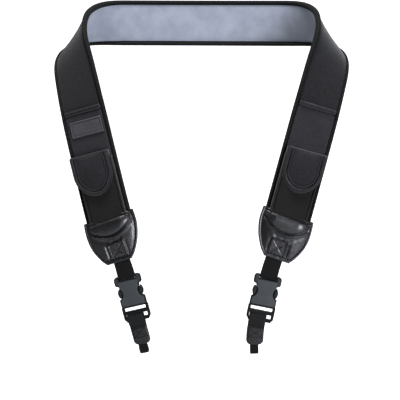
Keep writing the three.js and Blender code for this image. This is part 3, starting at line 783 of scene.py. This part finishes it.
def panel_height(s, t):
    """The panel's outer height: a rolled hem, a second ridge, a sewn groove below them, then flat cloth."""
    down = s - HEM_START
    roll = 0.0034 * bump(down, 0.0015, 0.0013)
    ridge = 0.0019 * bump(down, 0.0042, 0.0008)
    grooves = 0.0013 * bump(down, HEM_GROOVE, 0.0008) + 0.0007 * bump(down, 0.0028, 0.0005)
    edge = 0.0006 * smoothstep(np.abs(t), PANEL_HALF - 0.0012, PANEL_HALF)
    return PANEL_TOP + roll + ridge - grooves - edge


def make_panel(side, name):
    """The panel over the band, with the stitches of its hem."""
    hem = run(HEM_START, HEM_START + 0.009, 0.0005)
    stations = np.concatenate([hem, run(HEM_START + 0.011, BAND_REACH, 0.003)])
    s, t = np.meshgrid(stations, np.linspace(-PANEL_HALF, PANEL_HALF, 25), indexing="ij")
    top = panel_height(s, t)
    top[0] = PANEL_BOTTOM + 0.0008
    bottom = np.full_like(s, PANEL_BOTTOM)
    panel = pillow(f"pocket_panel_cloth_{name}", s, t, top, bottom, PANEL_CLOTH, side)
    finish_piece(panel, f"pocket_panel_{name}")
    flat = 2 * PANEL_HALF, HEM_TURN + BAND_REACH - HEM_START
    row = np.linspace(-PANEL_HALF + 0.001, PANEL_HALF - 0.001, 24)
    hem_row = np.full_like(row, side * (HEM_START + HEM_GROOVE)), row, PANEL_TOP - 0.0009
    sew(f"hem_stitching_{name}", [hem_row], *POCKET_THREAD)


def pouch_height(s):
    """The pouch's outer height over the panel."""
    share = np.clip((s - POUCH_START) / (TIP_START - POUCH_START), 0, 1)
    return POUCH_BOTTOM + POUCH_MOUTH_RISE + (POUCH_FOOT_RISE - POUCH_MOUTH_RISE) * share


def make_pouch(side, name):
    """The pouch: piped side seams, a groove inside each, a sunken front, and a hollow open at the mouth."""
    s, t = np.meshgrid(run(POUCH_START, BAND_REACH), crowded(49, 1.3) * POUCH_WIDE, indexing="ij")
    edge = POUCH_WIDE - np.abs(t)
    piping = 0.0014 * bump(edge, 0.0013, 0.0009)
    groove = 0.0024 * bump(edge, 0.0033, 0.0008)
    sag = 0.0009 * bump(t, 0.0, 0.011) * bump(s, 0.397, 0.014)
    crown = POUCH_SIDE + (pouch_height(s) - POUCH_BOTTOM - POUCH_SIDE) * rounding(edge, 0.0016)
    top = POUCH_BOTTOM + crown + piping - groove - sag
    hollow = smoothstep(HOLLOW_HALF - np.abs(t), 0, 0.0006)
    hollow = hollow * smoothstep(TIP_START - POUCH_FOOT - s, 0, 0.002)
    bottom = POUCH_BOTTOM + hollow * (top - POUCH_WALL - POUCH_BOTTOM)
    pouch = pillow(f"pocket_pouch_cloth_{name}", s, t, top, bottom, POCKET, side)
    finish_piece(pouch, f"pocket_pouch_{name}")


def flap_half(down):
    """The flap's half width, a distance down from its fold."""
    beyond = np.clip((down - FLAP_STRAIGHT) / (FLAP_LENGTH - FLAP_STRAIGHT), 0, 1)
    return FLAP_HALF * np.sqrt(np.clip(1 - beyond**2, 0.0004, 1))


def flap_inset(down, t):
    """Distance in from the flap's U-shaped edge, roughly."""
    centre = np.clip(down, None, FLAP_STRAIGHT)
    reach_s, reach_t = FLAP_LENGTH - FLAP_STRAIGHT, FLAP_HALF
    span = np.sqrt(((down - centre) / reach_s) ** 2 + (t / reach_t) ** 2)
    return (1 - span) * np.where(down > FLAP_STRAIGHT, 0.5 * (reach_s + reach_t), reach_t)


def flap_height(s, t):
    """The flap's outer height, t from its own middle: a fold, a rolled rim, a sewn U and a crown."""
    down = s - FLAP_START
    inset = flap_inset(down, t)
    lifted = smoothstep(down, -0.001, 0.0035)
    folded = PANEL_TOP + 0.0040
    base = folded + (pouch_height(s) + 0.0030 - folded) * lifted
    below = smoothstep(down, 0.0015, 0.0060)
    droop = 0.0046 * (1 - rounding(inset, 0.0055))
    rim = 0.0012 * bump(inset, 0.0034, 0.0011)
    channel = 0.0032 * bump(inset, FLAP_SEAM, 0.0008) * below
    ridge = 0.0007 * bump(inset, 0.0072, 0.0006) * below
    second = 0.0017 * bump(inset, 0.0088, 0.0007) * below
    crown = 0.0014 + 0.0016 * bump(down, 0.018, 0.012)
    field = crown * smoothstep(inset, 0.0088, 0.0200) * below
    fold = 0.0015 * bump(down, 0.0013, 0.0011)
    return base - droop + rim - channel + ridge - second + field + fold


def make_flap(side, name):
    """The flap, with the U stitched in from its edge."""
    down = np.concatenate([run(0, 0.006, 0.0005), run(0.007, FLAP_STRAIGHT, 0.001)])
    turned = np.sin(np.linspace(0, 0.985, 34)[1:] * math.pi / 2)
    down = np.concatenate([down, FLAP_STRAIGHT + (FLAP_LENGTH - FLAP_STRAIGHT) * turned])
    d, share = np.meshgrid(down, crowded(69, 1.3), indexing="ij")
    t = share * flap_half(d)
    s = FLAP_START + d
    top = flap_height(s, t)
    over_pouch = d > POUCH_START - FLAP_START - 0.0006
    under = np.where(over_pouch, pouch_height(s) + 0.0003, POUCH_BOTTOM)
    bottom = np.minimum(under, top - 0.0010)
    flap = pillow(f"pocket_flap_cloth_{name}", s, t + FLAP_MIDDLES[side], top, bottom, FLAP_CLOTH, side)
    finish_piece(flap, f"pocket_flap_{name}")
    angle = np.linspace(0, math.pi, 40)[1:-1]
    long_s = run(0.005, FLAP_STRAIGHT)
    round_s = FLAP_STRAIGHT + (FLAP_LENGTH - FLAP_STRAIGHT - FLAP_SEAM) * np.sin(angle)
    u = np.concatenate([long_s, round_s, long_s[::-1]])
    half = FLAP_HALF - FLAP_SEAM
    v = np.concatenate([np.full_like(long_s, half), half * np.cos(angle), np.full_like(long_s, -half)])
    height = flap_height(FLAP_START + u, v) + 0.0002
    seam = side * (FLAP_START + u), v + FLAP_MIDDLES[side], height
    sew(f"flap_stitching_{name}", [seam], *POCKET_THREAD)


def make_label(side):
    """The blank leather label: a raised border round a plain sunken field."""
    s, t = np.meshgrid(np.linspace(0, 1, 31), np.linspace(-1, 1, 61), indexing="ij")
    down = s * LABEL_LENGTH
    across = t * LABEL_HALF
    inset = np.minimum(np.minimum(down, LABEL_LENGTH - down), LABEL_HALF - np.abs(across))
    border = 0.0007 * bump(inset, 0.0014, 0.0006)
    line = 0.0006 * bump(inset, 0.0026, 0.0005)
    top = POUCH_BOTTOM + 0.0003 + 0.0007 * rounding(inset, 0.0009) + border - line
    base = np.full_like(top, POUCH_BOTTOM)
    s, t = LABEL_START + down, across + LABEL_MIDDLE
    label = pillow("label_leather", s, t, top, base, LABEL_LEATHER, side)
    finish_piece(label, "label_patch")
    low, high = LABEL_START + LABEL_SEAM, LABEL_START + LABEL_LENGTH - LABEL_SEAM
    box = stitched_box(low, high, LABEL_HALF - LABEL_SEAM)
    rows = [(side * a, b + LABEL_MIDDLE, POUCH_BOTTOM + 0.0009) for a, b in box]
    sew("label_stitching", rows, *LABEL_THREAD)


# ------------------------------------------------------------------ leather tips

# The tip's stitched box, the swelling over the webbing inside and the top seam, down from the tip's top
# edge, and its rim's width at the sides and foot.
BOX_TOP, BOX_FOOT, BOX_HALF = 0.0342, 0.0512, 0.0090
SWELL_TOP, SWELL_HALF = 0.0318, 0.0117
SEAM_DOWN = 0.0034
RIM, FOOT_RIM = 0.0033, 0.0048


def tip_column(down, column):
    """A column of the tip's table at a distance down from its top edge."""
    return np.interp(down, TIP_OUTLINE[:, 0], TIP_OUTLINE[:, column])


def tip_half(down):
    """Half width, smoothed between the rows of the table."""
    nearby = [np.clip(down + k, 0, TIP_LENGTH) for k in (-0.003, -0.0015, 0, 0.0015, 0.003)]
    return np.mean([tip_column(at, 1) for at in nearby], 0)


def side_slope(down):
    """The length of the tip's slanting edge for each metre down it."""
    return np.sqrt(1 + ((tip_half(down + 0.001) - tip_half(down - 0.001)) / 0.002) ** 2)


def tip_inset(down, v):
    """Distance in from the tip's side and bottom edges, roughly."""
    side = (tip_half(down) - np.abs(v)) / side_slope(down)
    foot = (TIP_LENGTH - down) * RIM / FOOT_RIM
    return -0.0006 * np.log(np.exp(-side / 0.0006) + np.exp(-foot / 0.0006))


def arc_down(v):
    """Where the curved seam across the tip runs."""
    return 0.0234 - 0.0120 * (np.abs(v) / 0.0275) ** 2


def rim_height(inset, thick):
    """The stitched rim: rounded at the edge, then flat."""
    return 0.0010 + thick * rounding(inset, 0.0012)


def tip_front(down, v):
    """The front's height: a stitched rim, a folded strip, a padded crescent and the webbing's bump."""
    inset = np.maximum(tip_inset(down, v), 0)
    t = v + tip_column(down, 2)
    base = tip_column(down, 3)
    rise = np.clip((inset - RIM) / 0.0150, 0, 1)
    flank = (0.5 * rise + 0.5 * np.sin(rise * math.pi / 2)) * smoothstep(inset, RIM - 0.0002, RIM + 0.0030)
    body = rim_height(inset, 0.0015) + (base - 0.0025) * flank
    groove = 0.0006 * bump(inset, RIM, 0.0007)
    inside = smoothstep(inset, RIM + 0.0002, RIM + 0.0030)
    seam_at = arc_down(v)
    share = np.clip((down - SEAM_DOWN - 0.0006) / np.maximum(seam_at - SEAM_DOWN - 0.0006, 0.002), 0, 1)
    puff = np.sqrt(np.clip(4 * share * (1 - share), 0, 1))
    crescent = 0.0030 * puff * smoothstep(seam_at, 0.009, 0.018)
    seam = 0.0012 * bump(down, seam_at, 0.0009)
    ridge = 0.0024 * bump(down, seam_at + 0.0030, 0.0014) * smoothstep(seam_at, 0.010, 0.019)
    hollow = 0.0008 * bump(down, seam_at + 0.0070, 0.0024) * bump(t, 0, 0.015)
    over_web = smoothstep(SWELL_HALF - np.abs(t), 0, 0.0012) * smoothstep(down, SWELL_TOP, 0.0336)
    creases = 0.0014 * bump(np.abs(t), 0.0124, 0.0012) * smoothstep(down, 0.0325, 0.0350)
    boxed = smoothstep(BOX_HALF - np.abs(t), -0.0004, 0.0008)
    boxed = boxed * smoothstep(down, BOX_TOP - 0.0004, BOX_TOP + 0.0006)
    boxed = boxed * (1 - smoothstep(down, BOX_FOOT - 0.0006, BOX_FOOT + 0.0004))
    down_box = 2 * (down - BOX_TOP) / (BOX_FOOT - BOX_TOP) - 1
    cross = [bump(t / BOX_HALF * way, down_box, 0.09) for way in (-1, 1)]
    web = 0.0010 * over_web - creases - 0.0006 * boxed - 0.0007 * boxed * np.maximum(*cross)
    wrinkles = 0.00015 * np.sin(t * 700 + down * 420) * bump(down, 0.0300, 0.005) * bump(t, 0, 0.020)
    strip = 0.0009 * bump(down, SEAM_DOWN, 0.0007)
    fold = smoothstep(down, -0.0006, 0.0010)
    top_strip = 1 - smoothstep(down, SEAM_DOWN, SEAM_DOWN + 0.0012)
    flat_strip = np.minimum(body, 0.0062) + 0.0002 + 0.0014 * bump(down, 0.0018, 0.0014)
    padded = body + crescent - seam + ridge - hollow + web + wrinkles
    crown = flat_strip * top_strip + padded * (1 - top_strip) - strip
    crown = (rim_height(inset, 0.0015) - groove) * (1 - inside) + crown * inside
    return 0.0006 + (crown - 0.0006) * (0.55 + 0.45 * fold)


def tip_back(down, v):
    """The back's height, as a depth: a plain leather face with the same stitched rim."""
    inset = np.maximum(tip_inset(down, v), 0)
    base = tip_column(down, 4)
    rim = rim_height(inset, 0.0012)
    depth = rim + (base - 0.0022) * smoothstep(inset, RIM, 0.0100) - 0.0007 * bump(inset, RIM, 0.0006)
    strip = 0.0007 * bump(down, SEAM_DOWN, 0.0006) * smoothstep(inset, RIM, RIM + 0.0020)
    t = v + tip_column(down, 2)
    over_web = smoothstep(SWELL_HALF - np.abs(t), 0, 0.0016) * smoothstep(down, SWELL_TOP, 0.0340)
    web = 0.0006 * over_web * smoothstep(inset, RIM, RIM + 0.0020)
    return -(depth - strip + web) * (0.65 + 0.35 * smoothstep(down, -0.0006, 0.0010))


def make_tip(side, name):
    """The leather tip, stitched round its rim, across its seams and in a crossed box, on both faces."""
    top, foot = run(0, 0.005, 0.0005), run(0.052, TIP_LENGTH, 0.0005)
    down = np.concatenate([top, run(0.0058, 0.0515, 0.0008), foot])
    u, k = np.meshgrid(down, crowded(91, 1.25), indexing="ij")
    v = k * tip_half(u)
    s, t = TIP_START + u, v + tip_column(u, 2)
    tip = pillow(f"tip_leather_{name}", s, t, tip_front(u, v), tip_back(u, v), LEATHER, side)
    finish_piece(tip, f"leather_tip_{name}")

    def row(u, v, height):
        return side * (TIP_START + u), v + tip_column(u, 2), height

    u = run(0.0030, TIP_LENGTH - FOOT_RIM, 0.001)
    v = tip_half(u) - RIM * side_slope(u)
    foot_v = np.linspace(v[-1], -v[-1], 16)[1:-1]
    u = np.concatenate([u, np.full_like(foot_v, u[-1]), u[::-1]])
    v = np.concatenate([v, foot_v, -v[::-1]])
    across = np.linspace(-0.0280, 0.0280, 40)
    curve = np.linspace(-0.0268, 0.0268, 50)
    front = [(u, v), (np.full_like(across, SEAM_DOWN), across), (arc_down(curve), curve)]
    rows = [row(a, b, tip_front(a, b) + 0.0001) for a, b in front]
    rows += [row(a, b, tip_back(a, b) - 0.0001) for a, b in front[:2]]
    for a, b in crossed_box(BOX_TOP, BOX_FOOT, BOX_HALF):
        middle = b - tip_column(a, 2)
        rows.append(row(a, middle, tip_front(a, middle) + 0.0001))
        rows.append(row(a, middle, tip_back(a, middle) - 0.0001))
    sew(f"tip_stitching_{name}", rows, *TIP_THREAD)


# ------------------------------------------------------------------ webbing, tab and lead


def rounded_path(corners):
    """The open path through corners, with each corner cut twice."""
    path = np.array(corners, float)
    for _ in range(2):
        a, b = path[:-1], path[1:]
        middle = np.stack([a * 0.75 + b * 0.25, a * 0.25 + b * 0.75], 1).reshape(-1, 2)
        path = np.concatenate([path[:1], middle, path[-1:]])
    return path


def doubled(sewn_end, open_from, thick, bight):
    """A ribbon's path: two sewn layers as far as open_from, then apart round the bight."""
    layer = thick / 2 + 0.00005
    flat = [(s, layer) for s in run(sewn_end, open_from, 0.004)]
    front = flat + list(bight)
    return front + [(s, -h) for s, h in reversed(front)]


def round_bar(near, far):
    """The bight round a buckle's bar."""
    way = 1 if far > near else -1
    out = BAR_DEPTH / 2 + 0.0003 + WEBBING_THICK / 2
    beyond = far + way * (0.0003 + WEBBING_THICK / 2)
    return [(near - way * 0.002, out), (beyond - way * 0.0006, out), (beyond, out - 0.0006)]


def ribbon(name, side, path, thick, width, middle, material):
    """A flat woven strap along a path of (s, h), with soft edges."""
    path = rounded_path(path)
    way = np.gradient(path, axis=0)
    way /= np.linalg.norm(way, axis=1)[:, None]
    normal = np.stack([-way[:, 1], way[:, 0]], -1)
    length = np.concatenate([[0], np.cumsum(np.linalg.norm(np.diff(path, axis=0), axis=1))])
    section = [(-1, 0), (-0.97, 0.8), (-0.6, 1), (-0.2, 1), (0.2, 1), (0.6, 1), (0.97, 0.8)]
    across, out = (np.array(section + [(-a, -b) for a, b in section]) * (width / 2, thick / 2)).T
    s = side * (path[:, 0, None] + normal[:, 0, None] * out)
    h = path[:, 1, None] + normal[:, 1, None] * out
    t = np.broadcast_to(across + middle, s.shape)
    lay = np.stack([np.broadcast_to(length[:, None], s.shape), t, np.broadcast_to(out, s.shape)], -1)
    return make_piece(name, place(s, t, h), lay, tube_faces(*s.shape), material)


def make_tail(side, name):
    """The webbing above and below the buckle, the leather tab and the lead's loop."""
    middle = side * TAIL_SHIFT
    bight = round_bar(BUCKLE_START, BUCKLE_START + BAR_WIDTH)
    upper = doubled(TIP_END - WEBBING_TUCK, TIP_END + 0.003, WEBBING_THICK, bight)
    piece = ribbon(f"webbing_strap_{name}", side, upper, WEBBING_THICK, WEBBING_WIDTH, 0, WEBBING)
    finish_piece(piece, f"webbing_{name}")
    foot = BUCKLE_START + PLUG_LENGTH
    slot_top = BUCKLE_START + PLUG_SLOT + 0.0006 + WEBBING_THICK
    lower = doubled(TAB_END - TAIL_TUCK, TAB_START - 0.0015, WEBBING_THICK, round_bar(foot, slot_top))
    piece = ribbon(f"tail_strap_{name}", side, lower, WEBBING_THICK, WEBBING_WIDTH, middle, TAIL_WEBBING)
    finish_piece(piece, f"tail_webbing_{name}")

    def half(s):
        beyond = np.clip((s - (TAB_END - TAB_ROUND)) / TAB_ROUND, 0, 1)
        return TAB_HALF - TAB_ROUND * (1 - math.sqrt(1 - beyond**2))

    def leaf(s):
        face = 0.0018 + 0.0009 * (1 - 0.45 * smoothstep(s, TAB_END - 0.009, TAB_END - 0.005))
        start = 0.75 + 0.25 * smoothstep(s, TAB_START, TAB_START + 0.0012)
        w, f = half(s), face * start
        across = (-1, -0.96, -0.6, 0, 0.6, 0.96, 1, 0.96, 0.6, 0, -0.6, -0.96)
        out = (0, -0.8, -1, -1, -1, -0.8, 0, 0.8, 1, 1, 1, 0.8)
        return [(middle + w * a, f * b) for a, b in zip(across, out)]

    rounded = TAB_END - TAB_ROUND * (1 - np.sin(np.linspace(0, math.pi / 2, 9)[1:]))
    stations = np.concatenate([run(TAB_START, TAB_END - TAB_ROUND, 0.001), rounded])
    tab = sweep(f"tab_leather_{name}", stations, leaf, TAB_LEATHER, side)
    finish_piece(tab, f"end_tab_{name}")
    box = crossed_box(TAB_START + 0.0014, TAB_START + 0.0130, 0.0080)
    rows = [(side * a, b + middle, h) for h in (0.0028, -0.0028) for a, b in box]
    sew(f"tab_stitching_{name}", rows, *TAB_THREAD)

    along, out = (LOOP_LENGTH - LEAD_THICK) / 2, (LOOP_DEPTH - LEAD_THICK) / 2
    turn = arc(STRAP_END - LOOP_LENGTH / 2, 0, along, out, 144, 21.6)
    path = doubled(TAB_END - LEAD_TUCK, TAB_END, LEAD_THICK, turn)
    piece = ribbon(f"lead_strap_{name}", side, path, LEAD_THICK, LEAD_WIDTH, side * LEAD_SHIFT, WEBBING)
    finish_piece(piece, f"lead_{name}")


# ------------------------------------------------------------------ buckles
# A buckle's own x runs across the strap, y down it and z out. Its outlines are given for the half with
# x over 0.

WELD = 0.00001
# The waist, the socket's raised face and the plug's heads all curve about this (x, y).
WAIST = 0.0172, 0.0208


def mirrored(half):
    """A closed outline from its half with x over 0, from top to bottom."""
    return list(half) + [(-x, y) for x, y in reversed(half)]


def arc(x, y, rx, ry, start, end, count=7):
    """Points round part of an ellipse, angles in degrees from +x towards +y."""
    angles = np.radians(np.linspace(start, end, count))
    return [(x + rx * math.cos(a), y + ry * math.sin(a)) for a in angles]


def box_outline(x0, y0, x1, y1, r=0.0004):
    """A rectangle with slightly rounded corners."""
    corners = [(x0 + r, y0 + r, 180), (x1 - r, y0 + r, 270), (x1 - r, y1 - r, 0), (x0 + r, y1 - r, 90)]
    return [p for x, y, a in corners for p in arc(x, y, r, r, a, a + 90, 3)]


def moulding(outlines, depth, edge):
    """A flat plate with rounded edges: its first outline is the outside, and the others are holes."""
    curve = bpy.data.curves.new("moulding", "CURVE")
    curve.dimensions = "2D"
    curve.fill_mode = "BOTH"
    curve.extrude = depth / 2 - edge
    curve.bevel_depth = edge
    curve.bevel_resolution = 3
    curve.offset = -edge
    for outline in outlines:
        spline = curve.splines.new("POLY")
        spline.points.add(len(outline) - 1)
        for point, (x, y) in zip(spline.points, outline):
            point.co = (x, y, 0, 1)
        spline.use_cyclic_u = True
    return taken_mesh(add_object("moulding", curve))


def hollowed(mesh, low, high):
    """A mesh with a box cut out of it."""
    face_out(mesh, WELD)
    corners = bpy.data.meshes.new("box")
    shape = bmesh.new()
    bmesh.ops.create_cube(shape, size=1)
    size = Vector(high) - Vector(low)
    middle = (Vector(high) + Vector(low)) / 2
    shape.transform(Matrix.Translation(middle) @ Matrix.Diagonal((*size, 1)))
    shape.to_mesh(corners)
    shape.free()
    whole, box = add_object("whole", mesh), add_object("box", corners)
    cut = whole.modifiers.new("cut", "BOOLEAN")
    cut.operation, cut.object, cut.solver = "DIFFERENCE", box, "EXACT"
    result = taken_mesh(whole)
    bpy.data.objects.remove(box)
    return result


def buckle_matrix(side):
    """From a buckle's own axes to the frame."""
    _, spot, axes = frames_at(np.array([side * (BUCKLE_START + PLUG_LENGTH / 2)]))
    along, out, across = (Vector(axes[0][:, i]) for i in range(3))
    start = Vector(spot[0]) - along * (PLUG_LENGTH / 2)
    matrix = Matrix((across, along, out)).transposed().to_4x4()
    matrix.translation = start
    return Matrix.Diagonal((side, 1, 1, 1)) @ matrix


def make_moulded(name, parts, side, node):
    """One plastic piece from mouldings in a buckle's own axes."""
    shape = bmesh.new()
    for part in parts:
        shape.from_mesh(part)
    bmesh.ops.remove_doubles(shape, verts=shape.verts, dist=WELD)
    # The lay attribute keeps each point's place in the buckle's own axes, and its out part sets where the
    # plastic's painted shade falls.
    lay = shape.verts.layers.float_vector.new("lay")
    for vert in shape.verts:
        vert[lay] = vert.co
    shape.transform(buckle_matrix(side))
    bmesh.ops.recalc_face_normals(shape, faces=shape.faces)
    mesh = bpy.data.meshes.new(name)
    shape.to_mesh(mesh)
    shape.free()
    mesh.materials.clear()
    mesh.materials.append(PLASTIC)
    mesh.polygons.foreach_set("use_smooth", [True] * len(mesh.polygons))
    mesh.set_sharp_from_angle(angle=math.radians(35))
    finish_piece(add_object(name, mesh), node)


def make_buckle(side, name):
    """The socket with its bar, slot and windows, and the plug with its frame, prongs and heads."""
    ear = arc(0.0130, 0.0036, 0.0038, 0.0036, -90, 0) + arc(0.0144, 0.0090, 0.0024, 0.0024, 0, 85)
    waist = arc(*WAIST, 0.0070, 0.0078, 226, 120, 15)
    face = [(0.0107, 0.0049), (0.0107, 0.0)] + ear + [(0.0126, 0.0124)] + waist
    face += [(0.0159, 0.0288), (0.0159, 0.0385)]
    solid = moulding([mirrored(face)], 0.0080, 0.0019)
    shell = hollowed(solid, (-0.0139, 0.0130, -0.0024), (0.0139, 0.0400, 0.0024))
    bar = moulding([box_outline(-0.0125, 0.0001, 0.0125, BAR_WIDTH, 0.0008)], BAR_DEPTH, 0.0007)
    plate = [(0.0124, 0.0064), (0.0114, 0.0128)] + arc(*WAIST, 0.0079, 0.0087, 228, 126, 13)
    plate += [(0.0142, 0.0294), (0.0143, 0.0368)]
    solid = moulding([mirrored(plate)], 0.0088, 0.0005)
    raised = hollowed(solid, (-0.0200, 0.0, -0.0036), (0.0200, 0.0400, 0.0036))
    make_moulded(f"socket_moulding_{name}", [shell, bar, raised], side, f"buckle_socket_{name}")

    foot = [(0.0, 0.0389), (0.0166, 0.0389)] + arc(0.0121, 0.0525, 0.0045, 0.0045, 0, 90)
    foot += [(SLOT_HALF, PLUG_LENGTH), (SLOT_HALF, PLUG_SLOT)]
    slot = box_outline(-SLOT_HALF, 0.0397, SLOT_HALF, 0.0445)
    edge = moulding([mirrored(foot[1:]), slot], 0.0052, 0.0008)
    bottom = moulding([box_outline(-0.0145, 0.0538, 0.0145, PLUG_LENGTH, 0.0008)], BAR_DEPTH, 0.0007)
    parts = [edge, bottom, moulding([box_outline(-0.0030, 0.0180, 0.0030, 0.0392)], 0.0032, 0.0004)]
    for way in (-1, 1):
        head = arc(*WAIST, 0.0066, 0.0074, 230, 130, 13)
        head += arc(0.0066, 0.0208, 0.0092, 0.0092, 36, -36, 11)
        parts.append(moulding([[(way * x, y) for x, y in head][::way]], 0.0074, 0.0009))
        low, high = sorted((way * 0.0092, way * 0.0134))
        parts.append(moulding([box_outline(low, 0.0165, high, 0.0395)], 0.0040, 0.0004))
    make_moulded(f"plug_moulding_{name}", parts, side, f"buckle_plug_{name}")


for side, name in ((1, "right"), (-1, "left")):
    make_panel(side, name)
    make_pouch(side, name)
    make_flap(side, name)
    make_tip(side, name)
    make_tail(side, name)
    make_buckle(side, name)
make_label(-1)
